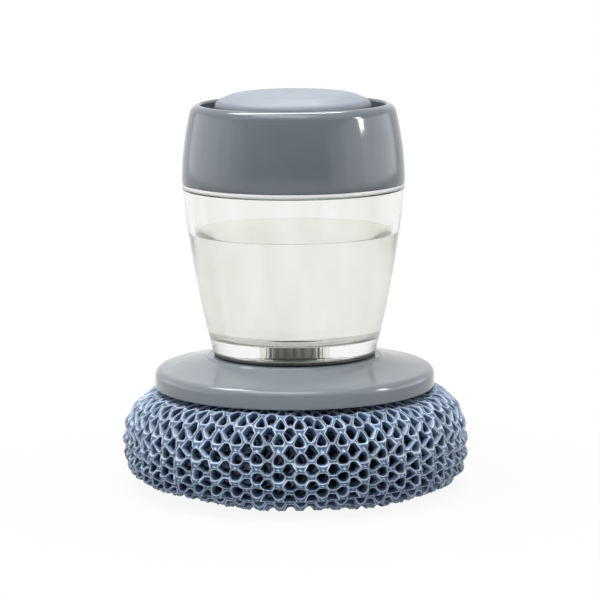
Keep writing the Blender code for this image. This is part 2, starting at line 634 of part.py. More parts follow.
def build_cap(look, parent):
    """The grey screw cap, with a rounded lip round the button's opening."""
    lip_centre = (CAP_TOP_RADIUS - CAP_LIP_WIDTH, CAP_TOP - CAP_LIP_HEIGHT)
    outline = [(CAP_BORE_RADIUS, CAP_BOTTOM), (CAP_RADIUS - CAP_EDGE, CAP_BOTTOM)]
    outline += bowed((CAP_RADIUS, CAP_BOTTOM + CAP_EDGE), (CAP_TOP_RADIUS, lip_centre[1]), CAP_BELLY,
                     SHORT_CURVE_STEPS)
    outline += arc(lip_centre, (CAP_LIP_WIDTH, CAP_LIP_HEIGHT), CAP_LIP_FIRST_ANGLE, 90,
                   SHORT_CURVE_STEPS)
    outline += [(CAP_OPENING_RADIUS, CAP_TOP - CAP_LIP_INNER_EDGE),
                (CAP_OPENING_RADIUS, CAP_TOP - CAP_LIP_DEPTH), (CAP_BORE_RADIUS, CAP_TOP - CAP_LIP_DEPTH)]
    return spun("cap_shell", outline, LARGE_STEPS, look, CAP_BOTTOM, parent)


def build_pump_floor(look, parent):
    """The inner lid: a disc on the neck's rim, a plug inside it and a guide for the plunger."""
    outer = CAP_BORE_RADIUS - FIT_GAP
    plug_bottom = PUMP_FLOOR - PLUG_DEPTH
    plug_inner = PLUG_RADIUS - PLUG_WALL
    groove_middle = PUMP_FLOOR - PLUG_DEPTH * SEAL_GROOVE_LEVEL_SHARE
    groove_half = SEAL_CORD_RADIUS + FIT_GAP
    groove_bottom = PLUG_RADIUS - SEAL_CORD_RADIUS * 2 - FIT_GAP
    guide_outer = GUIDE_RADIUS + GUIDE_WALL
    guide_top = PUMP_FLOOR_TOP + GUIDE_TOP_HEIGHT
    guide_bottom = PUMP_FLOOR - GUIDE_BOTTOM_DEPTH
    outline = [(GUIDE_RADIUS, guide_bottom), (guide_outer, guide_bottom), (guide_outer, PUMP_FLOOR),
               (plug_inner, PUMP_FLOOR), (plug_inner, plug_bottom), (PLUG_RADIUS, plug_bottom),
               (PLUG_RADIUS, groove_middle - groove_half), (groove_bottom, groove_middle - groove_half),
               (groove_bottom, groove_middle + groove_half), (PLUG_RADIUS, groove_middle + groove_half),
               (PLUG_RADIUS, PUMP_FLOOR), (outer, PUMP_FLOOR), (outer, PUMP_FLOOR_TOP),
               (guide_outer, PUMP_FLOOR_TOP), (guide_outer, guide_top), (GUIDE_RADIUS, guide_top)]
    return spun("pump_floor", outline, MIDDLE_STEPS, look, PUMP_FLOOR, parent)


def build_neck_seal(look, parent):
    """The O-ring in the plug's groove."""
    level = PUMP_FLOOR - PLUG_DEPTH * SEAL_GROOVE_LEVEL_SHARE
    outline = cord_section((PLUG_RADIUS - SEAL_CORD_RADIUS, level), SEAL_CORD_RADIUS)
    return spun("neck_seal", outline, MIDDLE_STEPS, look, level, parent)


def build_bellows(look, parent):
    """The folded air chamber between the pump floor and the plunger."""
    foot = PUMP_FLOOR_TOP + FIT_GAP + BELLOWS_WALL / 2
    top = PLUNGER_UNDERSIDE - FIT_GAP - BELLOWS_WALL / 2
    rise = foot + BELLOWS_WALL + RING_THICKNESS + FIT_GAP * 2
    pitch = (top - BELLOWS_WALL - rise) / BELLOWS_TIPS
    line = [(PLUNGER_RADIUS - BELLOWS_FOOT_INSET, foot), (BELLOWS_END_RADIUS, foot),
            (BELLOWS_END_RADIUS, rise)]
    for tip in range(BELLOWS_TIPS):
        radius = PLUNGER_RADIUS * (BELLOWS_INNER_SHARE if tip % 2 else BELLOWS_OUTER_SHARE)
        line += [(radius, rise + pitch * (tip + share)) for share in BELLOWS_TIP_SHARES]
    line += [(BELLOWS_END_RADIUS, top - BELLOWS_WALL), (BELLOWS_END_RADIUS, top),
             (SPRING_RADIUS + SPRING_WIRE_RADIUS + BELLOWS_TOP_ROOM, top)]
    return spun("pump_bellows", thick_line(line, BELLOWS_WALL), SMALL_STEPS, look, foot, parent)


def build_bellows_ring(look, parent):
    """The ring that clamps the bellows' foot on the pump floor."""
    level = PUMP_FLOOR_TOP + FIT_GAP * 2 + BELLOWS_WALL
    inner = BELLOWS_END_RADIUS + BELLOWS_WALL / 2 + FIT_GAP
    outline = [(inner, level), (PLUNGER_RADIUS, level), (PLUNGER_RADIUS, level + RING_THICKNESS / 2),
               (PLUNGER_RADIUS - RING_THICKNESS / 2, level + RING_THICKNESS),
               (inner, level + RING_THICKNESS)]
    return spun("bellows_ring", outline, MIDDLE_STEPS, look, level, parent)


def spring_points(low, high):
    """The helix of the spring's wire, and the least gap between its turns."""
    count = round(SPRING_TURNS * SPRING_POINTS_PER_TURN)
    points = []
    for index in range(count + 1):
        angle = math.tau * index / SPRING_POINTS_PER_TURN
        points.append(Vector((SPRING_RADIUS * math.cos(angle), SPRING_RADIUS * math.sin(angle),
                              low + (high - low) * index / count)))
    apart = min((points[index] - points[index + SPRING_POINTS_PER_TURN]).length
                for index in range(count + 1 - SPRING_POINTS_PER_TURN))
    print(f"least gap between spring turns: {(apart - SPRING_WIRE_RADIUS * 2) * 1000:.2f} mm")
    return points


def build_spring(look, parent):
    """The coil spring that lifts the button."""
    low = PUMP_FLOOR_TOP + FIT_GAP + SPRING_WIRE_RADIUS
    high = PLUNGER_UNDERSIDE - FIT_GAP - SPRING_WIRE_RADIUS
    wire = bpy.data.curves.new("return_spring", "CURVE")
    wire.dimensions = "3D"
    wire.bevel_depth = SPRING_WIRE_RADIUS
    wire.bevel_resolution = 1
    wire.use_fill_caps = True
    line = wire.splines.new("POLY")
    points = spring_points(low, high)
    line.points.add(len(points) - 1)
    for place, point in zip(line.points, points):
        place.co = (point.x, point.y, point.z - low, 1)
    wire.materials.append(look)
    spring = bpy.data.objects.new("return_spring", wire)
    bpy.context.collection.objects.link(spring)
    spring.parent = parent
    spring.location = (0, 0, low - parent.location.z)


def build_plunger(look, parent):
    """The disc inside the button, with a split and hooked stem that runs in the guide."""
    hook_top = PUMP_FLOOR - GUIDE_BOTTOM_DEPTH - FIT_GAP
    hook_bottom = hook_top - STEM_HOOK_HEIGHT
    hook_radius = STEM_RADIUS + STEM_HOOK_WIDTH
    outline = [(0, hook_bottom), (STEM_RADIUS, hook_bottom), (hook_radius, hook_top),
               (STEM_RADIUS, hook_top), (STEM_RADIUS, PLUNGER_UNDERSIDE),
               (PLUNGER_RADIUS, PLUNGER_UNDERSIDE), (PLUNGER_RADIUS, PLUNGER_TOP), (0, PLUNGER_TOP)]
    plunger = spun("plunger", outline, SMALL_STEPS, look, PLUNGER_UNDERSIDE, parent)
    side = [(-hook_radius - CUT_OVERRUN, hook_bottom - CUT_OVERRUN),
            (hook_radius + CUT_OVERRUN, hook_bottom - CUT_OVERRUN),
            (hook_radius + CUT_OVERRUN, hook_bottom + STEM_SLOT_LENGTH),
            (-hook_radius - CUT_OVERRUN, hook_bottom + STEM_SLOT_LENGTH)]
    slot = gathered([(prism_mesh(side, STEM_SLOT_WIDTH), 0)])
    apply_tool(plunger, "stem_slot", slot, "DIFFERENCE")
    return plunger


def build_button(look, parent):
    """The pale button: a low dome with a rounded edge and a skirt."""
    flat = BUTTON_RADIUS - BUTTON_EDGE_RADIUS
    shoulder = BUTTON_EDGE_LEVEL - BUTTON_EDGE_RADIUS
    inner = BUTTON_RADIUS - BUTTON_WALL
    dome = [(flat * share, BUTTON_EDGE_LEVEL + BUTTON_DOME * (1 - share ** BUTTON_DOME_POWER))
            for share in BUTTON_DOME_SHARES]
    ceiling = [(inner * share,
                BUTTON_EDGE_LEVEL - BUTTON_WALL + BUTTON_DOME * (1 - share ** BUTTON_DOME_POWER))
               for share in BUTTON_CEILING_SHARES]
    outline = dome + arc((flat, shoulder), (BUTTON_EDGE_RADIUS, BUTTON_EDGE_RADIUS),
                          BUTTON_EDGE_FIRST_ANGLE, 0, SHORT_CURVE_STEPS)
    outline += [(BUTTON_RADIUS, BUTTON_SKIRT_BOTTOM), (inner, BUTTON_SKIRT_BOTTOM)] + ceiling
    return spun("push_button", outline, LARGE_STEPS, look, BUTTON_SKIRT_BOTTOM, parent)


def build():
    """Make every piece, with its own material, on the group it moves with."""
    clear_scene()
    tank_axis = axis_empty("tank_axis", PLATE_SEAT)
    cap_axis = axis_empty("cap_axis", TANK_SHOULDER)
    button_axis = axis_empty("button_axis", PUMP_FLOOR_TOP)

    build_net(plastic("blue-grey mesh", (0.22, 0.27, 0.34), 0.4))
    build_core(plastic("crumpled mesh", (0.16, 0.20, 0.26), 0.6))
    build_tie(plastic("tie cord", (0.18, 0.22, 0.28), 0.6))
    build_plate(plastic("glossy grey plate", (0.30, 0.34, 0.38), 0.12))
    build_hub(plastic("hub grey", (0.30, 0.33, 0.36), 0.4))
    build_screws(steel("screw steel"))
    build_net_clamp(plastic("clamp grey", (0.20, 0.22, 0.25), 0.5))

    flat_ring("foot_gasket", SOCKET_RADIUS, TANK_FOOT_RADIUS - TANK_FOOT_EDGE / 2, FOOT_GASKET_LEVEL,
              FOOT_GASKET_THICKNESS, plastic("black rubber", (0.02, 0.02, 0.02), 0.6), tank_axis)
    build_tank(plastic("clear tank", (0.95, 0.96, 0.96), 0.03, 1.0), tank_axis)
    build_outlet_valve(plastic("dark silicone", (0.06, 0.06, 0.07), 0.5), tank_axis)
    build_valve_retainer(plastic("retainer grey", (0.12, 0.12, 0.13), 0.4), tank_axis)

    flat_ring("mouth_gasket", NECK_RADIUS + FIT_GAP, TANK_SHOULDER_RADIUS - MOUTH_GASKET_INSET,
              MOUTH_GASKET_LEVEL, MOUTH_GASKET_THICKNESS,
              plastic("white silicone", (0.88, 0.88, 0.88), 0.5), cap_axis)
    build_cap(plastic("glossy grey cap", (0.18, 0.20, 0.22), 0.12), cap_axis)
    build_pump_floor(plastic("floor grey", (0.25, 0.27, 0.29), 0.5), cap_axis)
    build_neck_seal(plastic("seal rubber", (0.03, 0.03, 0.03), 0.6), cap_axis)
    build_bellows(plastic("clear silicone", (0.75, 0.77, 0.78), 0.5), cap_axis)
    build_bellows_ring(plastic("ring white", (0.80, 0.80, 0.80), 0.4), cap_axis)
    build_spring(steel("spring steel"), cap_axis)

    build_plunger(plastic("plunger white", (0.80, 0.81, 0.82), 0.4), button_axis)
    build_button(plastic("pale grey button", (0.58, 0.62, 0.65), 0.45), button_axis)


build()
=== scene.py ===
"""Looks of the palm scourer with a soap tank: fine turned shells, clear tank with its soap, and the net."""

import math

import bmesh
import bpy
import numpy as np
from mathutils import Euler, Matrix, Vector, noise


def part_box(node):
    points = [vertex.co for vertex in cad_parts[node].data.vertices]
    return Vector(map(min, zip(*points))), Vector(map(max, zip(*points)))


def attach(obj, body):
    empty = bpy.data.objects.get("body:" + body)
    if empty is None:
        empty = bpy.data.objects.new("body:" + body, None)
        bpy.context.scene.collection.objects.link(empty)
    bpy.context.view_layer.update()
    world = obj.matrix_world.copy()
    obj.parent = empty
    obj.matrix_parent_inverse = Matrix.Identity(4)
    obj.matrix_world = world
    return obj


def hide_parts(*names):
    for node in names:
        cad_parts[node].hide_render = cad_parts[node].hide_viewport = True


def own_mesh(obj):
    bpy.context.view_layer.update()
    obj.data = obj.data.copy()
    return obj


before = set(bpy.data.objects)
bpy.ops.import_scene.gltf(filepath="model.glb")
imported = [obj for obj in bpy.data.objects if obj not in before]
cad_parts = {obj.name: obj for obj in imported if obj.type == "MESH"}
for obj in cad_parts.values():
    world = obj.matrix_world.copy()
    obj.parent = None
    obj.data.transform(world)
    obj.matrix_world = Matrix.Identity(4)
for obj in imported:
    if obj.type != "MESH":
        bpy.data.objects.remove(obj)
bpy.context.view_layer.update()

# General choices
FIT_GAP = 0.0003
ROUND_STEPS = 160
SMALL_ROUND_STEPS = 72
CORNER_STEPS = 5
SIDE_STEPS = 24
TANK_SIDE_STEPS = 40
SMOOTH_ANGLE = math.radians(32)

# Turned shells: the sizes that the CAD parts' boxes don't give
PLATE_EDGE_RADIUS = 0.0022
PLATE_EDGE_ARC = (0, 90, 14)
PLATE_CREST_HEIGHT = 0.0054
PLATE_SEAT_RADIUS = 0.0242
PLATE_WALL = 0.0021
SOCKET_RADIUS = 0.0114
SOCKET_WALL = 0.0025
RIB_COUNT = 6
RIB_WIDTH = 0.0015
RIB_DEPTH = 0.0044
TANK_FOOT_RADIUS = 0.0229
TANK_HEIGHT = 0.0460
TANK_BELLY = 0.0009
TANK_WALL = 0.0016
TANK_FLOOR_THICKNESS = 0.0042
TANK_FOOT_RING_WIDTH = 0.0018
TANK_FOOT_RECESS = 0.0006
TANK_FOOT_EDGE = 0.0004
TANK_CORNER_RADIUS = 0.0030
TANK_CORNER_ARC = (-8, -90, 12)
TANK_SHOULDER_SLOPE = 0.0006
NECK_RADIUS = 0.02655
NECK_WALL = 0.0022
OUTLET_RADIUS = 0.0108
OUTLET_BORE_RADIUS = 0.0088
OUTLET_HOLE_RADIUS = 0.0064
OUTLET_LEDGE = 0.0033
VALVE_COLLAR_WALL = 0.0012
CAP_TOP_RADIUS = 0.02875
CAP_BELLY = 0.0005
CAP_EDGE = 0.0004
CAP_LIP_WIDTH = 0.0027
CAP_LIP_HEIGHT = 0.0033
CAP_LIP_ARC = (15, 90, 24)
CAP_OPENING_RADIUS = 0.02565
CAP_LIP_DEPTH = 0.0052
CAP_BORE_RADIUS = 0.02725
BUTTON_WALL = 0.0018
BUTTON_EDGE_DROP = 0.0024
BUTTON_DOME = 0.0017
BUTTON_DOME_POWER = 8.0
BUTTON_DOME_END_SHARE = 0.97
BUTTON_EDGE_RADIUS = 0.0022
BUTTON_EDGE_ARC = (71, 0, 10)
BUTTON_DOME_STEPS = 24
BUTTON_CEILING_STEPS = 12
RETAINER_WALL = 0.0016
GASKET_GAP = 0.0001
GASKET_LIP = 0.0004
O_RING_ARC = (0, 345, 23)

# Thread on the neck: two starts, at the lead of the cap's joint
THREAD_HEIGHT = 0.00045
THREAD_WIDTH = 0.0013
THREAD_STARTS = 2
THREAD_CREST_SHARE = 0.8
THREAD_FADE_SHARE = 1 / 12
THREAD_MARGIN = 0.0014
CAP_THREAD_LEAD = 0.0060

# Soap
SOAP_LEVEL = 0.0719
SOAP_SINK = 0.00005
SOAP_CLEARING = 0.012
MENISCUS_HEIGHT = 0.0004
MENISCUS_REACH = 0.0016
MENISCUS_STEPS = 14

# Pump in the cap
PUMP_FLOOR_THICKNESS = 0.0026
PLUG_DEPTH = 0.0048
PLUG_WALL = 0.0039
GUIDE_RADIUS = 0.0036
GUIDE_WALL = 0.0026
BELLOWS_WALL = 0.0007
BELLOWS_FOLD_INNER = 0.0126
BELLOWS_FOLD_OUTER_SHARE = 0.955
BELLOWS_TOP_INNER = 0.0095
BELLOWS_TIPS = 3
BELLOWS_END = 0.0148
BELLOWS_STEPS = 49
SPRING_TURNS = 4.5
SPRING_WIRE_RADIUS = 0.0005
SPRING_STEPS = 200

# Scourer: its outline, and how the photographed one is set down unevenly
NET_PROUD = 0.0005
SCOURER_HEIGHT = 0.0284
WIDEST_LEVEL = 0.0134
SHOULDER_RADIUS = 0.0320
UPPER_ARC = (92, 0, 40, 2.6)
LOWER_ARC = (0, -90, 40, 3.3)
FOOTPRINT_RADIUS = 0.0258
FOOTPRINT_STEPS = 10
DIMPLE_RADIUS = 0.0110
DIMPLE_HEIGHT = 0.0036
DIMPLE_STEPS = 16
NET_TOP_RADIUS = 0.0270
NET_TOP_DROP = 0.0016
LEFT_LIFT = 0.0029
LIFT_ANGLE = math.radians(201)
LIFT_FADE = 0.0065
ROW_WAVES = ((0.0006, 2, 0.6), (0.0004, 5, 2.0))
SKIN_WAVES = ((0.00035, 3, 1.0, 0), (0.00025, 7, 0.0, 180))

# The net's lattice, in columns and half rows, and the relief of its tiers
NET_COLUMNS = 51
NET_HALF_ROW = 0.0024
NET_WEB_DEPTH = 0.00040
NET_STRAND = 0.00046
JUNCTION_SHARE = 0.25
JUNCTION_STEPS = 2
STRAND_STEPS = 4
TIER_HEIGHT = 0.00070
TIER_FLATTENING = 0.8
RELIEF_FADE_RADIUS = 0.02
FAINTEST_RELIEF = 0.2
SLIMMEST_SHARE = 0.12
ROW_STRETCH = 0.0018
STRETCH_REACH = (-0.022, 0.009)
UPPER_ZONE_SHARE = 0.6
LOWER_ZONE_SHARE = 0.5

# Holes of outer and inner rows: width, what it gains above, height, and cup above; all as shares
HOLE_SHARES = ((0.330, 0.060, 0.72, 0.06), (0.300, -0.055, 0.68, -0.10))
HOLE_SPREAD = (0.93, 1.07)
HOLE_SHIFT = (0.022, 0.05)
HOLE_LEAN = (0.05, 0.12)
HOLE_LIFT = 0.00008
LOWER_CUP = 0.28
TRIANGLE_RISE = 0.15

# Shapes of the upper holes: height added above and below, and the power of each end of the hole
HOLE_POWER = 2.3
HOLE_ENDS = (-0.3, 0.4)
UPPER_DROP = (0.30, 0.36, 2.3, 1.5)
UPPER_TRIANGLE = (0.36, -0.28, 1.2, 3.5)

# Depth and painted shade of the web by its distance from the hole, and the rings on it and down the hole;
# the last value of each ring down the hole is its painted shade
WEB_DEPTHS = ((0, 0.00012, 0.00027, 0.0006), (0.00008, 0, 0.00008, NET_WEB_DEPTH))
WEB_PAINTED_SHADE = ((0, 0.00010, 0.00022, 0.00045, 0.0010), (0.08, 0, 0.34, 0.50, 0.48))
WEB_RINGS = ((0.00050, 0.80), (0.00027, 0.62), (0.00012, 0.45), (0.0, 0.0))
HOLE_RINGS = ((0.00010, 0.25, 0.3, 0.38), (0.00028, 0.6, 0.65, 0.48), (0.00050, 1.0, 1.0, 0.68))
# Painted shade on the upper walls of the holes in the upper rows and on the lower walls in the lower rows
SIDE_PAINTED_SHADE = 0.22
# Painted shade that grows towards the bottom of the net
LOW_PAINTED_SHADE = 0.14
# Painted glints at the middle of the junctions: their reach, how far they rise, their range of lightness,
# and the plain tone elsewhere
SPOT_REACH = 0.01
SPOT_RISE_SHARE = 0.8
PAINTED_GLINT = (0.6, 3)
PLAIN_TONE = 0.5

# Both nets: inset, columns, phase, scale of the holes, depth of the cells, seed and look
NETS = {
    "outer_net": (0.0, NET_COLUMNS, 0.0, 1.0, 0.0020, 11, "net plastic"),
    "inner_net": (0.0026, NET_COLUMNS - 6, 0.3, 1.08, 0.0016, 23, "inner net plastic"),
}

# What the net is laid over, gathered by and tied with
CORE_INSET = 0.0062
CORE_TOP_SHARE = 0.9
CORE_FOOT_SHARE = 0.65
CORE_NECK_SHARE = 0.5
CORE_FOLDS = (260, 620)
CORE_FINE_FOLD_SHARE = 0.6
CORE_FOLD = 0.0016
NECK_INSET = 0.0018
NECK_BEND_RADII = (0.0205, 0.0125)
NECK_STEP = 0.0006
NECK_TAIL = 0.0010
NECK_TOP_SHARE = 0.8
GATHER_THICKNESS = 0.0004
GATHER_STEPS = 6
GATHER_FADE = 0.003
# Painted shade where the pleats of the gathered ends dip down
GATHER_PAINTED_SHADE = 0.4
NECK_FOLD = 0.0004
RUFFLE_FOLD = 0.0003
RUFFLE_PLEATS = 18
RUFFLE_RADIUS = 0.0042
TIE_NECK_RADIUS = 0.0021
TIE_RADIUS = 0.0032
TIE_CORD_RADIUS = 0.0008
TIE_STRAND_SHARE = 0.55
TIE_TWISTS = 11
TIE_STEPS = 180
KNOT_STEPS = 60
KNOT_SWELL = 0.45

# Moulded plastics: darker and lighter colour, roughness, scale and depth of the grain, gloss
MOULDED = {
    "polished grey plate": ((124, 133, 140), (130, 139, 146), (0.09, 0.15), 900, 0.000006, 0.5),
    "polished grey cap": ((104, 113, 121), (110, 119, 127), (0.08, 0.15), 900, 0.000006, 0.5),
    "satin pale button": ((143, 151, 160), (149, 157, 166), (0.40, 0.48), 5200, 0.00002, 0.15),
    "black rubber": ((40, 41, 43), (54, 55, 58), (0.45, 0.6), 2600, 0.00003, 0.5),
    "white silicone": ((250, 250, 250), (254, 254, 254), (0.12, 0.2), 2600, 0.00001, 1.0),
    "dark silicone": ((38, 38, 41), (50, 51, 55), (0.4, 0.5), 2600, 0.00002, 0.5),
    "dark plastic": ((62, 64, 68), (74, 76, 81), (0.3, 0.42), 2600, 0.00001, 0.5),
    "inner grey plastic": ((96, 102, 108), (108, 114, 120), (0.35, 0.5), 2600, 0.00001, 0.5),
    "pale lid plastic": ((206, 209, 212), (214, 217, 220), (0.35, 0.5), 2600, 0.00001, 0.5),
    "inner white plastic": ((224, 226, 228), (232, 234, 236), (0.35, 0.5), 2600, 0.00001, 0.5),
}
NOISE_SPAN = (0.3, 0.7)
PATCH_SCALE = 45
POLISH_PER_PATCH = 6

# Net plastics: colours of rim, wall and depth, and roughness; the pale rim colour carries a painted
# highlight, the wall and depth colours painted shade down the cells
NETTED = {
    "net plastic": ((200, 217, 240), (80, 103, 135), (34, 44, 60), (0.28, 0.45)),
    # The net behind and the gathered ends: the same plastic, painted darker as shade
    "inner net plastic": ((136, 153, 177), (72, 87, 108), (16, 20, 28), (0.35, 0.5)),
    # The pad inside: the net's blue painted near black as the shade behind the net
    "crumpled core": ((52, 60, 76), (24, 28, 36), (8, 9, 12), (0.5, 0.7)),
}
# Where the painted highlight of the rims gives way to the wall colour, and that to the painted shade deep in
# the cells
RIM_END = 0.04
WALL_END = 0.45
# The tone attribute, random tone per cell and painted glints, maps to this change of lightness
TONE_SPAN = (-0.14, 0.70)
WEAR_SPAN = (0.82, 1.18)
WEAR_LIMITS = (0.25, 0.75)
NET_WEAR = (160, 4)
NET_STREAKS = (1500, 3)
NET_GRAIN = 0.00012

# Clear materials: tint, index of refraction, depth of the waves, milkiness and blur
CLEAR = {
    "clear tank plastic": ((237, 239, 232), 1.49, 0.00004, 0.0, 0.02),
    "soap": ((251, 251, 244), (1.06, 1.30), 0.00001, 0.12, 0.02),
    "soap surface": ((251, 251, 244), 1.06, 0.00001, 0.04, 0.3),
}
CLEAR_DENSITY = 2.0
CLEAR_STREAKS = (60, 3)
CLEAR_WAVES = (55, 2)
CLEAR_POLISH = (220, 4)
SHADE_SHARE = 0.35
STEEL_GAIN = 1.15

# Floor and world
FLOOR_RADIUS = 8.0
FLOOR_FADE = (0.02, 0.12)
FLOOR_WHITE = 0.90
AMBIENT = 0.40
GLOSS_LEVELS = (0.12, 1.0)
GLOSS_TURN = (-1.0, -0.3)
GLASS_LEVELS = (0.55, 1.0)
GLASS_TURN = (0.2, 0.8)

# Lamps: place, size, power, whether they light matt surfaces and whether glossy ones show them
LAMP_TARGET = (0, 0, 0.06)
LAMPS = {
    "overhead softbox": ((-0.10, -0.18, 0.91), (0.70, 0.50), 8.6, True, False),
    "overhead sheen": ((-0.10, -0.25, 0.90), (0.70, 0.50), 3.4, False, True),
    "strip behind": ((-0.12, 0.33, 0.86), (0.85, 0.24), 8.5, False, True),
    "window": ((0.78, -0.14, 0.388), (0.08, 0.27), 2.0, False, True),
}

# Side panels, nested for a soft edge: distance, far end, widths and power for each metre of width
SIDE_PANELS = {
    "left": (-1.13, 1.05, (2.0, 1.6, 1.2), 0.74),
    "right": (1.12, 0.97, (2.2, 1.8, 1.3), 1.15),
}
PANEL_LEVEL = 0.16
PANEL_HEIGHT = 0.6
PANEL_TINT = (0.90, 0.96, 1.0)

# View
CAMERA_PLACE = (0.0016, -0.8265, 0.1817)
CAMERA_PITCH = 81.12
CAMERA_ROLL = -0.37
CAMERA_LENS = 180
SENSOR_WIDTH = 36


def span(node):
    """A CAD node's radius and its lowest and highest level."""
    low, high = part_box(node)
    return high.x, low.z, high.z


PLATE_RADIUS, PLATE_BOTTOM, PLATE_SEAT = span("base_plate")
TANK_RADIUS, OUTLET_BOTTOM, NECK_TOP = span("tank")
CAP_RADIUS, CAP_BOTTOM, CAP_TOP = span("cap_shell")
BUTTON_RADIUS, BUTTON_BOTTOM, BUTTON_TOP = span("push_button")
SCOURER_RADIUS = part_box("scourer_net")[1].x + NET_PROUD
TANK_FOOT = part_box("foot_gasket")[1].z + FIT_GAP
TANK_SHOULDER = TANK_FOOT + TANK_HEIGHT
TANK_FLOOR = TANK_FOOT + TANK_FLOOR_THICKNESS
PLATE_CREST = PLATE_BOTTOM + PLATE_CREST_HEIGHT
BUTTON_EDGE_LEVEL = BUTTON_TOP - BUTTON_EDGE_DROP


def arc(centre, radii, start, end, steps, power=2.0):
    """Points along a stretch of a (super)ellipse, from a first angle in degrees to a last one."""
    angle = np.radians(np.linspace(start, end, steps + 1))
    across, up = (np.sign(part) * np.abs(part) ** (2 / power) for part in (np.cos(angle), np.sin(angle)))
    return list(zip(centre[0] + radii[0] * across, centre[1] + radii[1] * up))


def bowed(start, end, belly, steps=SIDE_STEPS):
    """Points from start to end, swelling outwards by belly halfway."""
    share = np.linspace(0, 1, steps + 1)
    return list(zip(start[0] + (end[0] - start[0]) * share + belly * 4 * share * (1 - share),
                    start[1] + (end[1] - start[1]) * share))


def polar(reach, angle, level):
    """Points in space, from their reach from the axis, angle and level."""
    return np.stack([reach * np.cos(angle), reach * np.sin(angle), level], axis=-1)


def rounded(corners, closed=True):
    """Soften each corner that names a radius, written (radius, level, softening)."""
    points = []
    for index, corner in enumerate(corners):
        here = Vector(corner[:2])
        if len(corner) < 3 or (not closed and index in (0, len(corners) - 1)):
            points.append(tuple(here))
            continue
        before = Vector(corners[index - 1][:2]) - here
        after = Vector(corners[(index + 1) % len(corners)][:2]) - here
        reach = min(corner[2], before.length / 2, after.length / 2)
        start, end = here + before.normalized() * reach, here + after.normalized() * reach
        for share in np.linspace(0, 1, CORNER_STEPS + 1):
            bent = start.lerp(here, share).lerp(here.lerp(end, share), share)
            points.append(tuple(bent))
    return points


def placed(name, data):
    """A new object in the scene."""
    piece = bpy.data.objects.new(name, data)
    bpy.context.scene.collection.objects.link(piece)
    return piece


def finished(name, mesh, look):
    """A smooth object with its material."""
    mesh.shade_smooth()
    mesh.materials.clear()
    mesh.materials.append(LOOKS[look])
    return placed(name, mesh)


def object_from(name, shape, look):
    """Turn a bmesh into an object that is smooth except at its sharp edges."""
    bmesh.ops.recalc_face_normals(shape, faces=shape.faces)
    mesh = bpy.data.meshes.new(name)
    shape.to_mesh(mesh)
    shape.free()
    piece = finished(name, mesh, look)
    mesh.set_sharp_from_angle(angle=SMOOTH_ANGLE)
    return piece


def seat(piece, body, slot, *nodes):
    """Say what the piece moves with and hide the CAD nodes that it stands for; the slot, its finish, is not
    used.
    """
    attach(piece, body)
    if nodes:
        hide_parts(*nodes)


def turned_mesh(outline, steps):
    """Revolve an outline; one that starts and ends on the axis stays open."""
    shape = bmesh.new()
    corners = [shape.verts.new((radius, 0, level)) for radius, level in outline]
    edges = [shape.edges.new(pair) for pair in zip(corners[:-1], corners[1:])]
    if outline[0][0] > 0:
        edges.append(shape.edges.new((corners[-1], corners[0])))
    bmesh.ops.spin(shape, geom=corners + edges, cent=(0, 0, 0), axis=(0, 0, 1), dvec=(0, 0, 0),
                   angle=math.tau, steps=steps, use_merge=True, use_duplicate=False)
    bmesh.ops.remove_doubles(shape, verts=shape.verts, dist=FIT_GAP / 100)
    return shape


def turned(name, corners, look, body, slot, node, steps=ROUND_STEPS):
    """A turned piece with softened corners that stands for a CAD node."""
    skin = turned_mesh(rounded(corners, corners[0][0] > 0), steps)
    seat(object_from(name, skin, look), body, slot, node)


def helix_ridge(radius, lead, low, high):
    """Thread ridges round a neck: low rounded ribs that rise by the lead in each turn."""
    shape = bmesh.new()
    half, crest = THREAD_WIDTH / 2, THREAD_HEIGHT * THREAD_CREST_SHARE
    section = [(0, -half), (crest, -half / 2), (THREAD_HEIGHT, 0), (crest, half / 2), (0, half),
               (-THREAD_HEIGHT / 2, 0)]
    turns = (high - low) / lead
    steps = round(turns * SMALL_ROUND_STEPS)
    for start in range(THREAD_STARTS):
        rings = []
        for share in np.arange(steps + 1) / steps:
            fade = min(1, share / THREAD_FADE_SHARE, (1 - share) / THREAD_FADE_SHARE)
            angle = math.tau * (start / THREAD_STARTS + turns * share)
            rise = low + (high - low) * share
            rings.append([shape.verts.new(polar(radius + out * (fade if out > 0 else 1), angle, rise + up))
                          for out, up in section])
        for ring, following in zip(rings[:-1], rings[1:]):
            for side in range(len(section)):
                nearby = (side + 1) % len(section)
                shape.faces.new((ring[side], ring[nearby], following[nearby], following[side]))
        shape.faces.new(rings[0])
        shape.faces.new(rings[-1])
    return shape


# Materials

def display(colour):
    """A colour as a screen shows it (0 to 255), turned into the linear light that shaders use."""
    shares = [value / 255 for value in colour]
    linear = [share / 12.92 if share <= 0.04045 else ((share + 0.055) / 1.055) ** 2.4 for share in shares]
    return (*linear, 1.0)


class Tree:
    """A node tree that is put together in a few calls."""

    def __init__(self, tree):
        self.tree = tree

    def feed(self, node, inputs):
        """Set a node's inputs, each a value or another node's output."""
        for key, value in inputs.items():
            if isinstance(value, bpy.types.NodeSocket):
                self.tree.links.new(value, node.inputs[key])
            else:
                node.inputs[key].default_value = value

    def node(self, kind, inputs=None, **settings):
        """Add a node with its settings and inputs."""
        node = self.tree.nodes.new(kind)
        for key, value in settings.items():
            setattr(node, key, value)
        self.feed(node, inputs or {})
        return node

    def ranged(self, value, low, high, from_low=0.0, from_high=1.0, kind="LINEAR"):
        """Map a value to a range."""
        inputs = {"Value": value, "To Min": low, "To Max": high, "From Min": from_low, "From Max": from_high}
        return self.node("ShaderNodeMapRange", inputs, interpolation_type=kind).outputs["Result"]


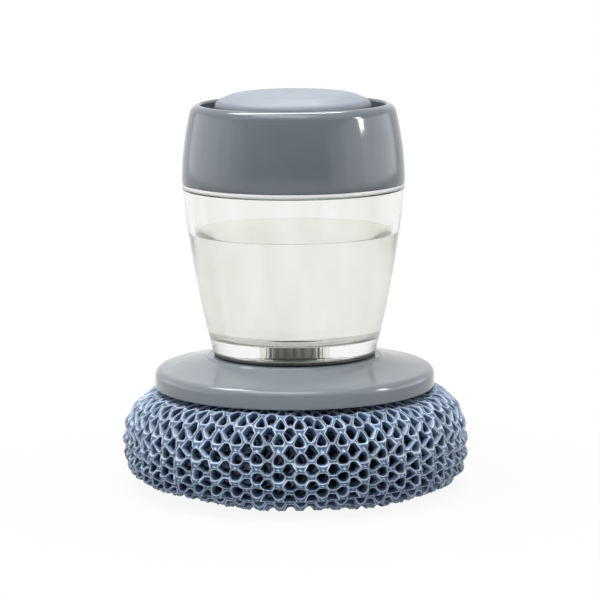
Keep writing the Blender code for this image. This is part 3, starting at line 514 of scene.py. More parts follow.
class Look(Tree):
    """The node tree of a material."""

    def __init__(self, name):
        self.material = bpy.data.materials.new(name)
        self.material.use_nodes = True
        super().__init__(self.material.node_tree)
        self.shader = self.tree.nodes["Principled BSDF"]
        self.output = self.tree.nodes["Material Output"]
        self.place = self.node("ShaderNodeTexCoord").outputs["Object"]

    def set(self, **inputs):
        """Set the shader's inputs; a name's underscores stand for spaces."""
        self.feed(self.shader, {key.replace("_", " "): value for key, value in inputs.items()})

    def stretched(self, upright):
        """The object's coordinates, scaled upright."""
        inputs = {"Vector": self.place, "Scale": (1, 1, upright)}
        return self.node("ShaderNodeMapping", inputs).outputs["Vector"]

    def noise(self, scale, detail=3.0, where=None):
        """A noise between 0 and 1, of a scale in features per metre."""
        inputs = {"Scale": scale, "Detail": detail, "Vector": where or self.place}
        return self.node("ShaderNodeTexNoise", inputs).outputs["Fac"]

    def attribute(self, name):
        """A value that the mesh carries at its points."""
        return self.node("ShaderNodeAttribute", attribute_name=name).outputs["Fac"]

    def blended(self, share, first, second):
        """A colour between two others."""
        inputs = {"Factor": share, "A": first, "B": second}
        return self.node("ShaderNodeMix", inputs, data_type="RGBA").outputs["Result"]

    def bump(self, height, depth):
        """Relief in shading only, by a height map."""
        return self.node("ShaderNodeBump", {"Height": height, "Distance": depth}).outputs["Normal"]

    def mix_in(self, share, other):
        """Put another shader in the place of a share of this one."""
        inputs = {0: share, 1: self.shader.outputs["BSDF"], 2: other.outputs[0]}
        self.feed(self.output, {"Surface": self.node("ShaderNodeMixShader", inputs).outputs["Shader"]})


def moulded(name, dark, light, roughness, grain_scale, grain_depth, gloss):
    """Moulded plastic: faint patches of tone, uneven polish and a fine skin."""
    look = Look(name)
    patches = look.ranged(look.noise(PATCH_SCALE, 4), 0, 1, *NOISE_SPAN)
    polish = look.ranged(look.noise(PATCH_SCALE * POLISH_PER_PATCH, 5), *roughness, *NOISE_SPAN)
    look.set(Base_Color=look.blended(patches, display(dark), display(light)), Roughness=polish,
             Specular_IOR_Level=gloss, Normal=look.bump(look.noise(grain_scale, 2), grain_depth))
    return look.material


def clear_plastic(name, colour, ior, ripple, milk, blur):
    """Clear plastic or slightly milky soap, which lets the lamps through to what is behind it.

    Two values of ior make it grow from the soap's surface downwards.
    """
    look = Look(name)
    tint = display(colour)
    if isinstance(ior, tuple):
        height = look.node("ShaderNodeSeparateXYZ", {"Vector": look.place}).outputs["Z"]
        ior = look.ranged(height, *ior, SOAP_LEVEL, SOAP_LEVEL - SOAP_CLEARING)
    streaks = look.ranged(look.noise(*CLEAR_STREAKS, look.stretched(0.25)), 0, 1, *NOISE_SPAN)
    waves = look.noise(*CLEAR_WAVES, look.stretched(0.4))
    look.set(Transmission_Weight=1.0 - milk, IOR=ior, Normal=look.bump(waves, ripple),
             Base_Color=look.blended(streaks, tint, (1, 1, 1, 1)),
             Roughness=look.ranged(look.noise(*CLEAR_POLISH), 0.0, blur))
    absorb = look.node("ShaderNodeVolumeAbsorption", {"Color": tint, "Density": CLEAR_DENSITY})
    look.feed(look.output, {"Volume": absorb.outputs["Volume"]})
    pale = tuple(value ** SHADE_SHARE for value in tint)
    look.mix_in(look.node("ShaderNodeLightPath").outputs["Is Shadow Ray"],
                look.node("ShaderNodeBsdfTransparent", {"Color": pale}))
    return look.material


def net_plastic(name, rim, wall, deep, roughness):
    """The net's plastic: pale at the rims of the cells with a painted highlight, bluer and darker down their
    walls and dark at the bottom with painted shade.
    """
    look = Look(name)
    # The depth attribute is painted shade: 0 at the pale rims, 1 deep in the cells
    depth = look.attribute("depth")
    streaks = look.noise(*NET_STREAKS)
    upper = look.blended(look.ranged(depth, 0, 1, RIM_END, WALL_END), display(rim), display(wall))
    whole = look.blended(look.ranged(depth, 0, 1, WALL_END, 1.0), upper, display(deep))
    # Random tone per cell and the painted glints lighten or darken the colour
    tone = look.ranged(look.attribute("tone"), *TONE_SPAN, 0, PAINTED_GLINT[1])
    wear = look.ranged(look.noise(*NET_WEAR), *WEAR_SPAN, *WEAR_LIMITS)
    light = look.node("ShaderNodeMath", {0: tone, 1: wear}, operation="ADD").outputs["Value"]
    shade = look.node("ShaderNodeHueSaturation", {"Color": whole, "Value": light})
    look.set(Base_Color=shade.outputs["Color"], Roughness=look.ranged(streaks, *roughness, *NOISE_SPAN),
             Normal=look.bump(streaks, NET_GRAIN))
    return look.material


def lined(name, colours, scale, detail, upright, roughness, relief, metallic=0.0):
    """Drawn metal or twisted cord, with bands of two colours along it."""
    look = Look(name)
    lines = look.noise(scale, detail, look.stretched(upright))
    look.set(Metallic=metallic, Base_Color=look.blended(lines, *colours),
             Roughness=look.ranged(lines, *roughness), Normal=look.bump(lines, relief))
    return look.material


LOOKS = {name: make(name, *values)
         for make, table in ((moulded, MOULDED), (net_plastic, NETTED), (clear_plastic, CLEAR))
         for name, values in table.items()}
CORD = (display((88, 98, 114)), display((130, 142, 160)))
STEEL = display((196, 196, 192))
BRIGHT_STEEL = (*(value * STEEL_GAIN for value in STEEL[:3]), 1.0)
LOOKS["tie cord"] = lined("tie cord", CORD, 1800, 4, 0.3, (0.7, 0.9), 0.0002)
LOOKS["steel"] = lined("steel", (STEEL, BRIGHT_STEEL), 2500, 3, 8, (0.22, 0.38), 0.00003, 1.0)


# Turned shells

def build_plate():
    """The plate with its socket, and the ribs under it."""
    under_seat = PLATE_SEAT - PLATE_WALL
    edge = PLATE_RADIUS - PLATE_EDGE_RADIUS
    outer = SOCKET_RADIUS + SOCKET_WALL
    soft = PLATE_EDGE_RADIUS / 4
    corners = [(PLATE_RADIUS - PLATE_WALL, PLATE_BOTTOM, soft / 2),
               (PLATE_RADIUS, PLATE_BOTTOM, soft)]
    corners += arc((edge, PLATE_CREST - PLATE_EDGE_RADIUS), (PLATE_EDGE_RADIUS,) * 2, *PLATE_EDGE_ARC)
    corners += [(PLATE_SEAT_RADIUS + soft, PLATE_SEAT - soft, soft / 2),
                (PLATE_SEAT_RADIUS, PLATE_SEAT, soft / 2), (SOCKET_RADIUS, PLATE_SEAT, soft),
                (SOCKET_RADIUS, PLATE_BOTTOM + FIT_GAP), (outer, PLATE_BOTTOM + FIT_GAP),
                (outer, under_seat, soft), (PLATE_SEAT_RADIUS, under_seat, soft),
                (edge - PLATE_WALL / 2, PLATE_CREST - PLATE_WALL, soft),
                (PLATE_RADIUS - PLATE_WALL, PLATE_CREST - PLATE_EDGE_RADIUS, soft)]
    turned("plate_shell", corners, "polished grey plate", "head", "grey_plate", "base_plate")
    ribs = bmesh.new()
    inner, reach = outer - SOCKET_WALL / 2, PLATE_RADIUS - PLATE_WALL / 2
    length = reach - inner
    for index in range(RIB_COUNT):
        angle = math.tau * (index + 0.5) / RIB_COUNT
        rib = bmesh.ops.create_cube(ribs, size=1)["verts"]
        bmesh.ops.scale(ribs, verts=rib, vec=(length, RIB_WIDTH, RIB_DEPTH))
        for corner in rib:
            corner.co.x += (inner + reach) / 2
            slope = (corner.co.x - inner) / length * (PLATE_SEAT - PLATE_CREST)
            corner.co.z += under_seat - RIB_DEPTH / 2 - slope + PLATE_WALL / 4
            corner.co.z = max(corner.co.z, PLATE_BOTTOM + FIT_GAP)
        bmesh.ops.rotate(ribs, verts=rib, cent=(0, 0, 0), matrix=Euler((0, 0, angle)).to_matrix())
    seat(object_from("plate_ribs", ribs, "polished grey plate"), "head", "grey_plate")


def tank_inside(sink=0.0):
    """The tank's inner outline from its shoulder down to the hole in its floor."""
    slope = (TANK_RADIUS - TANK_FOOT_RADIUS) / TANK_HEIGHT
    foot = TANK_FOOT_RADIUS - TANK_WALL + slope * TANK_FLOOR_THICKNESS
    corner = TANK_FLOOR + TANK_CORNER_RADIUS
    top = (TANK_RADIUS - TANK_WALL - slope * TANK_SHOULDER_SLOPE,
           TANK_SHOULDER - TANK_SHOULDER_SLOPE)
    line = bowed(top, (foot, corner), TANK_BELLY, TANK_SIDE_STEPS)
    line += arc((foot - TANK_CORNER_RADIUS, corner), (TANK_CORNER_RADIUS,) * 2, *TANK_CORNER_ARC)
    return [(radius + sink, level - (sink if level < corner else 0)) for radius, level in line]


def build_tank():
    """The clear tank with its thick foot, outlet and screw neck."""
    soft = TANK_FOOT_EDGE
    bore = NECK_RADIUS - NECK_WALL
    ledge = TANK_FLOOR - OUTLET_LEDGE
    recess = TANK_FOOT + TANK_FOOT_RECESS
    ring_inner = TANK_FOOT_RADIUS - TANK_FOOT_EDGE - TANK_FOOT_RING_WIDTH
    corners = [(OUTLET_BORE_RADIUS, OUTLET_BOTTOM, soft / 3), (OUTLET_RADIUS, OUTLET_BOTTOM, soft / 2),
               (OUTLET_RADIUS, recess, soft / 2), (ring_inner, recess, soft / 3),
               (ring_inner, TANK_FOOT, soft / 3), (TANK_FOOT_RADIUS - soft / 3, TANK_FOOT, soft / 2)]
    corners += bowed((TANK_FOOT_RADIUS, TANK_FOOT + soft), (TANK_RADIUS, TANK_SHOULDER),
                     TANK_BELLY, TANK_SIDE_STEPS)
    corners += [(NECK_RADIUS, TANK_SHOULDER, soft / 2), (NECK_RADIUS, NECK_TOP, soft / 2),
                (bore, NECK_TOP, soft / 2), (bore, TANK_SHOULDER, soft)]
    corners += tank_inside()
    corners += [(OUTLET_HOLE_RADIUS, TANK_FLOOR, soft / 2), (OUTLET_HOLE_RADIUS, ledge),
                (OUTLET_BORE_RADIUS, ledge)]
    turned("tank_shell", corners, "clear tank plastic", "tank", "clear_tank", "tank")
    ridge = helix_ridge(NECK_RADIUS, CAP_THREAD_LEAD, TANK_SHOULDER + THREAD_MARGIN,
                        NECK_TOP - THREAD_MARGIN)
    seat(object_from("neck_thread", ridge, "clear tank plastic"), "tank", "clear_tank")


def build_soap():
    """The soap in the tank, with the thin rise of its edge against the wall."""
    line = [point for point in tank_inside(SOAP_SINK) if point[1] < SOAP_LEVEL]
    wall = line[0][0] + (SOAP_LEVEL - line[0][1]) * (line[0][0] - line[4][0]) / (line[0][1] - line[4][1])
    surface = [(wall - reach, SOAP_LEVEL + MENISCUS_HEIGHT * math.exp(-reach / MENISCUS_HEIGHT))
               for reach in np.linspace(0, MENISCUS_REACH, MENISCUS_STEPS)]
    ledge = TANK_FLOOR - OUTLET_LEDGE
    hole, collar = OUTLET_HOLE_RADIUS + SOAP_SINK, OUTLET_HOLE_RADIUS - FIT_GAP - SOAP_SINK
    inside, rim = collar - VALVE_COLLAR_WALL + SOAP_SINK * 2, TANK_FLOOR - FIT_GAP - SOAP_SINK
    valve = ledge - FIT_GAP + SOAP_SINK
    bottom = [(hole, line[-1][1]), (hole, ledge), (collar, ledge), (collar, rim), (inside, rim),
              (inside, valve), (0, valve)]
    outline = [(0, SOAP_LEVEL)] + surface[::-1] + line + bottom
    soap = object_from("soap", turned_mesh(outline, ROUND_STEPS), "soap")
    soap.data.materials.append(LOOKS["soap surface"])
    for face in soap.data.polygons:
        inner = math.hypot(*face.center[:2]) < wall - MENISCUS_HEIGHT
        face.material_index = int(face.center.z > SOAP_LEVEL and inner)
    seat(soap, "tank", "clear_tank")


def flat_ring(inner, outer, low, high, soft):
    """The outline of a ring with four soft edges."""
    return [(inner, low, soft), (outer, low, soft), (outer, high, soft), (inner, high, soft)]


def build_small_rings():
    """The gaskets, the valve's retainer and the O-ring."""
    outer, low, high = span("foot_gasket")
    ring = flat_ring(SOCKET_RADIUS, outer, low, high, (high - low) / 3)
    turned("foot_gasket_ring", ring, "black rubber", "foot_seal", "black_rubber", "foot_gasket")

    _, low, high = span("mouth_gasket")
    soft = (high - low) / 3
    inner, lip = NECK_RADIUS + FIT_GAP, CAP_RADIUS - CAP_EDGE / 4
    shoulder, top = TANK_RADIUS + GASKET_GAP, CAP_BOTTOM - GASKET_GAP
    ring = [(inner, low), (shoulder, low), (shoulder, low - GASKET_LIP), (lip, low - GASKET_LIP, soft),
            (lip, top, soft), (inner, top, soft)]
    turned("mouth_gasket_ring", ring, "white silicone", "mouth_seal", "white_silicone", "mouth_gasket")

    outer, low, high = span("valve_retainer")
    ring = flat_ring(outer - RETAINER_WALL, outer, low, high, RETAINER_WALL / 4)
    turned("retainer_sleeve", ring, "pale lid plastic", "tank", "dark_plastic", "valve_retainer",
           SMALL_ROUND_STEPS)

    outer, low, high = span("neck_seal")
    half = (high - low) / 2
    ring = arc((outer - half, low + half), (half, half), *O_RING_ARC)
    turned("neck_o_ring", ring, "black rubber", "cap", "black_rubber", "neck_seal")


def build_cap():
    """The cap, with its rounded lip and the opening for the button."""
    centre = (CAP_TOP_RADIUS - CAP_LIP_WIDTH, CAP_TOP - CAP_LIP_HEIGHT)
    corners = [(CAP_BORE_RADIUS, CAP_BOTTOM, CAP_EDGE),
               (CAP_RADIUS - CAP_EDGE / 3, CAP_BOTTOM, CAP_EDGE / 2)]
    lip = arc(centre, (CAP_LIP_WIDTH, CAP_LIP_HEIGHT), *CAP_LIP_ARC)
    corners += bowed((CAP_RADIUS, CAP_BOTTOM + CAP_EDGE), lip[0], CAP_BELLY)
    corners += lip[1:]
    corners += [(CAP_OPENING_RADIUS, CAP_TOP - CAP_EDGE, CAP_EDGE * 2),
                (CAP_OPENING_RADIUS, CAP_TOP - CAP_LIP_DEPTH, CAP_EDGE),
                (CAP_BORE_RADIUS, CAP_TOP - CAP_LIP_DEPTH, CAP_EDGE)]
    turned("cap_cover", corners, "polished grey cap", "cap", "grey_cap", "cap_shell")


def button_dome(radius, edge, shares):
    """Points of the dome, which is nearly flat in the middle and falls to its edge's level."""
    return [(radius * share, edge + BUTTON_DOME * (1 - share ** BUTTON_DOME_POWER)) for share in shares]


def build_button():
    """The button: a low dome with a soft edge and a skirt."""
    flat = BUTTON_RADIUS - BUTTON_EDGE_RADIUS
    inner = BUTTON_RADIUS - BUTTON_WALL
    corners = button_dome(flat, BUTTON_EDGE_LEVEL, np.linspace(0, BUTTON_DOME_END_SHARE, BUTTON_DOME_STEPS))
    corners += arc((flat, BUTTON_EDGE_LEVEL - BUTTON_EDGE_RADIUS), (BUTTON_EDGE_RADIUS,) * 2,
                   *BUTTON_EDGE_ARC)
    corners += [(BUTTON_RADIUS, BUTTON_BOTTOM, BUTTON_WALL / 4), (inner, BUTTON_BOTTOM, BUTTON_WALL / 4)]
    corners += button_dome(inner, BUTTON_EDGE_LEVEL - BUTTON_WALL, np.linspace(1, 0, BUTTON_CEILING_STEPS))
    turned("button_cover", corners, "satin pale button", "button", "button", "push_button")


# The scourer's net

class Surface:
    """The scourer's skin: an outline by length, turned about the axis, with soft unevenness."""

    def __init__(self, inset):
        centre = (SHOULDER_RADIUS, WIDEST_LEVEL)
        side = SCOURER_RADIUS - SHOULDER_RADIUS - TIER_HEIGHT
        top = SCOURER_HEIGHT - WIDEST_LEVEL - TIER_HEIGHT / 2
        start = (NET_TOP_RADIUS, SCOURER_HEIGHT - NET_TOP_DROP)
        line = [start] + arc(centre, (side, top), *UPPER_ARC)
        foot = SHOULDER_RADIUS + side - FOOTPRINT_RADIUS
        line += arc((FOOTPRINT_RADIUS, WIDEST_LEVEL), (foot, WIDEST_LEVEL), *LOWER_ARC)[1:]
        line += [(radius, 0.0)
                 for radius in np.linspace(FOOTPRINT_RADIUS, DIMPLE_RADIUS, FOOTPRINT_STEPS)[1:]]
        for share in np.linspace(0, 1, DIMPLE_STEPS)[1:]:
            rise = DIMPLE_HEIGHT * share * share * (3 - 2 * share)
            line.append((DIMPLE_RADIUS + (TIE_NECK_RADIUS - DIMPLE_RADIUS) * share, rise))
        points = np.array(line)
        along = np.gradient(points, axis=0)
        along /= np.linalg.norm(along, axis=1)[:, None]
        self.normals = np.stack([-along[:, 1], along[:, 0]], axis=1)
        self.points = points - self.normals * inset
        steps = np.linalg.norm(np.diff(points, axis=0), axis=1)
        self.lengths = np.concatenate([[0.0], np.cumsum(steps)])
        self.length = self.lengths[-1]
        level = np.argmin(np.abs(self.points[:, 1] - WIDEST_LEVEL) + (self.points[:, 0] < SHOULDER_RADIUS))
        self.widest = self.lengths[level]

    def along(self, values, length):
        """Both parts of the values at the outline's points, at lengths along it."""
        return [np.interp(length, self.lengths, part) for part in values.T]

    def place(self, angle, length, depth):
        """Points in space for arrays of angles, lengths along the outline and depths under the skin."""
        wave = sum(height * np.sin(count * angle + phase) for height, count, phase in ROW_WAVES)
        length = length + wave * np.sin(np.pi * np.clip(length / self.length, 0, 1))
        radius, level = self.along(self.points, length)
        out, up = self.along(self.normals, length)
        facing = (1 + np.cos(angle - LIFT_ANGLE)) / 2
        lift = LEFT_LIFT * facing ** 2 * np.clip(1 - level / LIFT_FADE, 0, 1)
        return polar(radius - out * depth, angle, level - up * depth + lift)


def zone_shares(level):
    """How much of the upper rows' look a level has, and how much of the lower rows'."""
    above = (level - WIDEST_LEVEL) / (SCOURER_HEIGHT - WIDEST_LEVEL) / UPPER_ZONE_SHARE
    below = (WIDEST_LEVEL - level) / WIDEST_LEVEL / LOWER_ZONE_SHARE
    return np.clip(above, 0, 1), np.clip(below, 0, 1)


def cell_border():
    """Places round one cell of the lattice, in columns and half rows."""
    half = JUNCTION_SHARE / 2
    side = 0.5 - half
    corners = [(side, 0), (half, 1), (-half, 1), (-side, 0), (-half, -1), (half, -1)]
    places = []
    for start, end in zip(np.array(corners), np.roll(corners, -1, 0)):
        steps = JUNCTION_STEPS if start[1] == end[1] else STRAND_STEPS
        places += [start + (end - start) * share for share in np.arange(steps) / steps]
    return np.array(places)


def hole_places(border, pitch, wide, high, cup, above, inner):
    """A hole inside the border, as shares of it; above makes outer ones drops and inner ones triangles."""
    across, down = border[:, 0] * pitch, border[:, 1] * NET_HALF_ROW
    reach = np.hypot(across, down)
    aim = down / reach
    wide = wide * (1 - cup * aim)
    tall = UPPER_TRIANGLE if inner else UPPER_DROP
    high = high * (1 + above * np.where(aim < 0, tall[0], tall[1]))
    power = HOLE_POWER + above * (np.interp(aim, HOLE_ENDS, tall[2:]) - HOLE_POWER)
    size = (np.abs(across) / reach / wide) ** power + (np.abs(down) / reach / high) ** power
    return np.minimum(size ** (-1 / power), reach - NET_STRAND / 2) / reach


def lattice_rows(surface):
    """Half rows of cells along the outline, with an odd, inner row at the widest level."""
    above = int(surface.widest / NET_HALF_ROW) - 1
    above -= 1 - above % 2
    below = int((surface.length - surface.widest) / NET_HALF_ROW) - 1
    return surface.widest - above * NET_HALF_ROW, above + below + 1


class Cells:
    """The cells of a net: where each one lies, the borders that they share, and its hole."""

    def __init__(self, surface, columns, phase, hole_scale, seed):
        self.surface, self.columns = surface, columns
        self.random = np.random.default_rng(seed)
        self.first, rows = lattice_rows(surface)
        self.border = cell_border()
        self.sides = len(self.border)
        column, row = (grid.ravel() for grid in np.meshgrid(np.arange(columns), np.arange(rows)))
        self.centre = np.stack([column + 0.5 * (row % 2) + phase, row], axis=1).astype(float)
        self.count = len(self.centre)
        self.share_borders()
        self.open_holes(row, hole_scale)

    def share_borders(self):
        """Find the border places that neighbouring cells have in common."""
        edge = self.centre[:, None] + self.border
        keys = np.round(edge * 1000).astype(np.int64)
        keys = (keys[..., 0] % (self.columns * 1000)) * 1000000 + keys[..., 1] + 5000
        _, self.pick, shared = np.unique(keys.ravel(), return_index=True, return_inverse=True)
        self.shared = shared.reshape(self.count, self.sides)
        self.skin_edge = edge.reshape(-1, 2)[self.pick]

    def open_holes(self, row, hole_scale):
        """Size each hole by its row and level, with chance in its size, place, lean, height and tone."""
        length = self.first + row * NET_HALF_ROW
        radius, level = self.surface.along(self.surface.points, length)
        pitch = radius * math.tau / self.columns
        above, below = zone_shares(level)
        inner_row = row % 2 == 1
        width, wider, height, cup = np.array(HOLE_SHARES)[row % 2].T
        wide = (width + wider * above) * pitch * hole_scale
        high = height * NET_HALF_ROW * hole_scale
        wide = wide * self.random.uniform(*HOLE_SPREAD, self.count)
        high = high * self.random.uniform(*HOLE_SPREAD, self.count)
        self.shift = self.random.normal(0, 1, (self.count, 2)) * HOLE_SHIFT
        self.shift[:, 1] -= inner_row * TRIANGLE_RISE * above
        self.lean = self.random.normal(0, 1, (self.count, 2)) * HOLE_LEAN
        self.lift = self.random.normal(0, HOLE_LIFT, self.count)
        self.tone = self.random.uniform(0, 1, self.count)
        sizes = zip(pitch, wide, high, LOWER_CUP * below + cup * above, above, inner_row)
        self.fit = np.stack([hole_places(self.border, *size) for size in sizes])
        across, down = self.border.T
        self.web = np.hypot(across * pitch[:, None], down * NET_HALF_ROW) * (1 - self.fit)
        # Painted shade on the upper walls of the holes in the upper rows and on the lower walls in the lower
        # rows
        self.painted_side_shade = (below - above)[:, None] * down / np.hypot(across * 2, down) * SIDE_PAINTED_SHADE

    def ring(self, offset, most, depth=None, lean_share=0.0, dark=None):
        """One ring round every hole: its distance from the hole's edge, its depth, lean and darkness, which
        is painted shade.
        """
        share = np.minimum(offset / self.web, most)
        reach = self.fit + (1 - self.fit) * share
        middle = (self.centre + self.lean * lean_share)[:, None]
        middle = middle + self.shift[:, None] * (1 - np.maximum(share, 0))[..., None]
        place = middle + self.border * reach[..., None]
        if dark is None:
            away = share * self.web
            low, dark = np.interp(away, *WEB_DEPTHS), np.interp(away, *WEB_PAINTED_SHADE)
        else:
            low, dark = np.full(self.fit.shape, depth), dark + self.painted_side_shade
        return (place.reshape(-1, 2), (low - self.lift[:, None]).ravel(), np.clip(dark, 0, 1).ravel(),
                np.repeat(self.tone, self.sides))

    def layers(self, depth):
        """Layers of places, depths, painted shade and tone, from the skin down each hole and back under it.
        """
        size = len(self.skin_edge)
        # Painted glints at the middle of each junction, stored in the tone attribute, with no painted shade
        # there
        glint_spots = np.abs(self.border[self.pick % self.sides, 0]) < SPOT_REACH
        painted_glint = np.where(glint_spots, self.random.uniform(*PAINTED_GLINT, size), PLAIN_TONE)
        middle = self.web.ravel()[self.pick]
        skin = (self.skin_edge, np.interp(middle, *WEB_DEPTHS) - glint_spots * NET_WEB_DEPTH * SPOT_RISE_SHARE,
                np.interp(middle, *WEB_PAINTED_SHADE) * np.where(glint_spots, 0, 1), painted_glint)
        # The back of the net is in full painted shade
        back = (self.skin_edge, np.full(size, depth - NET_WEB_DEPTH), np.full(size, 1.0),
                np.full(size, PLAIN_TONE))
        rings = [self.ring(offset, most) for offset, most in WEB_RINGS]
        rings += [self.ring(-inset, 0.0, depth * share, lean, dark)
                  for inset, share, lean, dark in HOLE_RINGS]
        return [skin, *rings, back]

    def world_places(self, place, under):
        """Points in space for places on the lattice and depths under the skin."""
        surface = self.surface
        length = self.first + place[:, 1] * NET_HALF_ROW
        stretch = np.interp(length - surface.widest, STRETCH_REACH, (0, 1))
        length += ROW_STRETCH * np.sin(np.pi * stretch)
        skin_radius, level = surface.along(surface.points, length)
        slim = np.clip(skin_radius / SHOULDER_RADIUS, SLIMMEST_SHARE, 1)
        fade = np.clip(skin_radius / RELIEF_FADE_RADIUS - 1, FAINTEST_RELIEF, 1)
        flat = 1 - TIER_FLATTENING * zone_shares(level)[0]
        tiers = TIER_HEIGHT * np.cos(np.pi * place[:, 1]) * fade * flat
        angle = place[:, 0] / self.columns * math.tau
        swell = sum(height * np.sin(count * angle + phase + length * twist) * (fade if twist else 1)
                    for height, count, phase, twist in SKIN_WAVES)
        return surface.place(angle, length, under * slim - tiers - swell)

    def faces(self, layers):
        """Quads from each layer to the next, and along the free edges of the net."""
        starts = np.cumsum([0] + [len(layer[0]) for layer in layers])
        own = np.arange(self.count * self.sides).reshape(self.count, self.sides)
        back = starts[-2]
        rings = [self.shared] + [own + start for start in starts[1:-2]] + [self.shared + back]
        turned_rings = [np.roll(ring, -1, 1) for ring in rings]
        quads = [np.stack(ring, axis=2).reshape(-1, 4)
                 for ring in zip(rings[:-1], rings[1:], turned_rings[1:], turned_rings[:-1])]
        ends = np.stack([rings[0], turned_rings[0]], axis=2).reshape(-1, 2)
        _, turn, uses = np.unique(np.sort(ends, axis=1), axis=0, return_inverse=True, return_counts=True)
        first, second = ends[uses[turn.ravel()] == 1].T
        quads.append(np.stack([first, second, second + back, first + back], axis=1))
        return np.concatenate(quads)


def build_cells(name, inset, columns, phase, hole_scale, depth, seed, look):
    """A net of open cells with deep walls: pale rims at the skin, walls that run inwards, with painted shade
    and painted glints at its points.
    """
    cells = Cells(Surface(inset), columns, phase, hole_scale, seed)
    layers = cells.layers(depth)
    place, under, dark, tones = (np.concatenate(parts) for parts in zip(*layers))
    places = cells.world_places(place, under)
    # Painted shade that grows from the widest level down to the floor
    dark = np.clip(dark + LOW_PAINTED_SHADE * np.clip(1 - places[:, 2] / WIDEST_LEVEL, 0, 1), 0, 1)
    places[:, 2] = np.maximum(places[:, 2], 0)
    mesh = bpy.data.meshes.new(name)
    mesh.from_pydata(places.tolist(), [], cells.faces(layers).tolist())
    # The depth attribute carries the painted shade, the tone attribute random tone per cell and the painted
    # glints
    for label, values in (("depth", dark), ("tone", tones)):
        mesh.attributes.new(label, "FLOAT", "POINT").data.foreach_set("value", values.astype(np.float32))
    return finished(name, mesh, look)


def build_core():
    """The crumpled inner pad: a lumpy closed body round the hub, painted dark as shade and darker still in
    its hollows.
    """
    surface = Surface(CORE_INSET)
    hub_radius, hub_foot, _ = span("nozzle_hub")
    foot_radius = hub_radius * CORE_FOOT_SHARE
    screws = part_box("hub_screw_1")[0].z - FIT_GAP
    line = [point for point in surface.points if point[0] > hub_radius * CORE_NECK_SHARE]
    line = [(max(radius, hub_radius + FIT_GAP), level) if level > screws else (radius, level)
            for radius, level in line]
    outline = [(0, hub_foot - FIT_GAP), (foot_radius, hub_foot - FIT_GAP), (foot_radius, screws),
               (hub_radius + FIT_GAP, screws)] + [tuple(point) for point in line]
    outline.append((0, outline[-1][1]))
    core = turned_mesh(outline, ROUND_STEPS)
    dark = core.verts.layers.float.new("depth")
    tone = core.verts.layers.float.new("tone")
    skin = SCOURER_RADIUS - CORE_INSET
    coarse, fine = CORE_FOLDS
    for corner in core.verts:
        radius = math.hypot(corner.co.x, corner.co.y)
        if radius > hub_radius + FIT_GAP * 2 and corner.co.z < SCOURER_HEIGHT - CORE_INSET * CORE_TOP_SHARE:
            folds = noise.noise(corner.co * coarse) + CORE_FINE_FOLD_SHARE * noise.noise(corner.co * fine)
            corner.co.x *= 1 + folds * CORE_FOLD / skin
            corner.co.y *= 1 + folds * CORE_FOLD / skin
            corner.co.z += folds * CORE_FOLD / 2
            # Painted shade, darker where a fold sinks in
            corner[dark] = (1 - folds) / 2
        corner[tone] = PLAIN_TONE
    pad = object_from("scourer_pad", core, "crumpled core")
    seat(pad, "head", "inner_mesh", "scourer_core")


def line_object(name, lines, radius, look, closed=False):
    """Round wire or cord along lists of points, as one mesh."""
    wire = bpy.data.curves.new(name, "CURVE")
    wire.dimensions = "3D"
    wire.bevel_depth = radius
    wire.bevel_resolution = 4
    wire.use_fill_caps = not closed
    for points in lines:
        spline = wire.splines.new("POLY")
        spline.points.add(len(points) - 1)
        spline.use_cyclic_u = closed
        for spot, point in zip(spline.points, points):
            spot.co = (*point, 1)
    guide = placed(name, wire)
    mesh = bpy.data.meshes.new_from_object(guide.evaluated_get(bpy.context.evaluated_depsgraph_get()))
    bpy.data.objects.remove(guide)
    return finished(name, mesh, look)


def build_tie():
    """The drawn cord underneath: two strands twisted round each other, and the knot."""
    _, low, high = span("net_tie")
    level = (low + high) / 2
    strand = TIE_CORD_RADIUS * TIE_STRAND_SHARE
    slack = TIE_CORD_RADIUS - strand
    turn = np.linspace(0, math.tau, TIE_STEPS, endpoint=False)
    lines = []
    for start in (0, math.pi):
        twist = start + turn * TIE_TWISTS
        lines.append(polar(TIE_RADIUS + slack * np.cos(twist), turn, level + slack * np.sin(twist)))
    turn = np.linspace(0, math.tau, KNOT_STEPS, endpoint=False)
    knot = polar(TIE_CORD_RADIUS * (1 + KNOT_SWELL * np.cos(3 * turn)), 2 * turn,
                 level + TIE_CORD_RADIUS / 2 * np.sin(3 * turn))
    lines.append(knot + np.array((TIE_RADIUS + TIE_CORD_RADIUS, 0, 0)))
    seat(line_object("tie_cord", lines, strand, "tie cord", closed=True), "head", "cord", "net_tie")


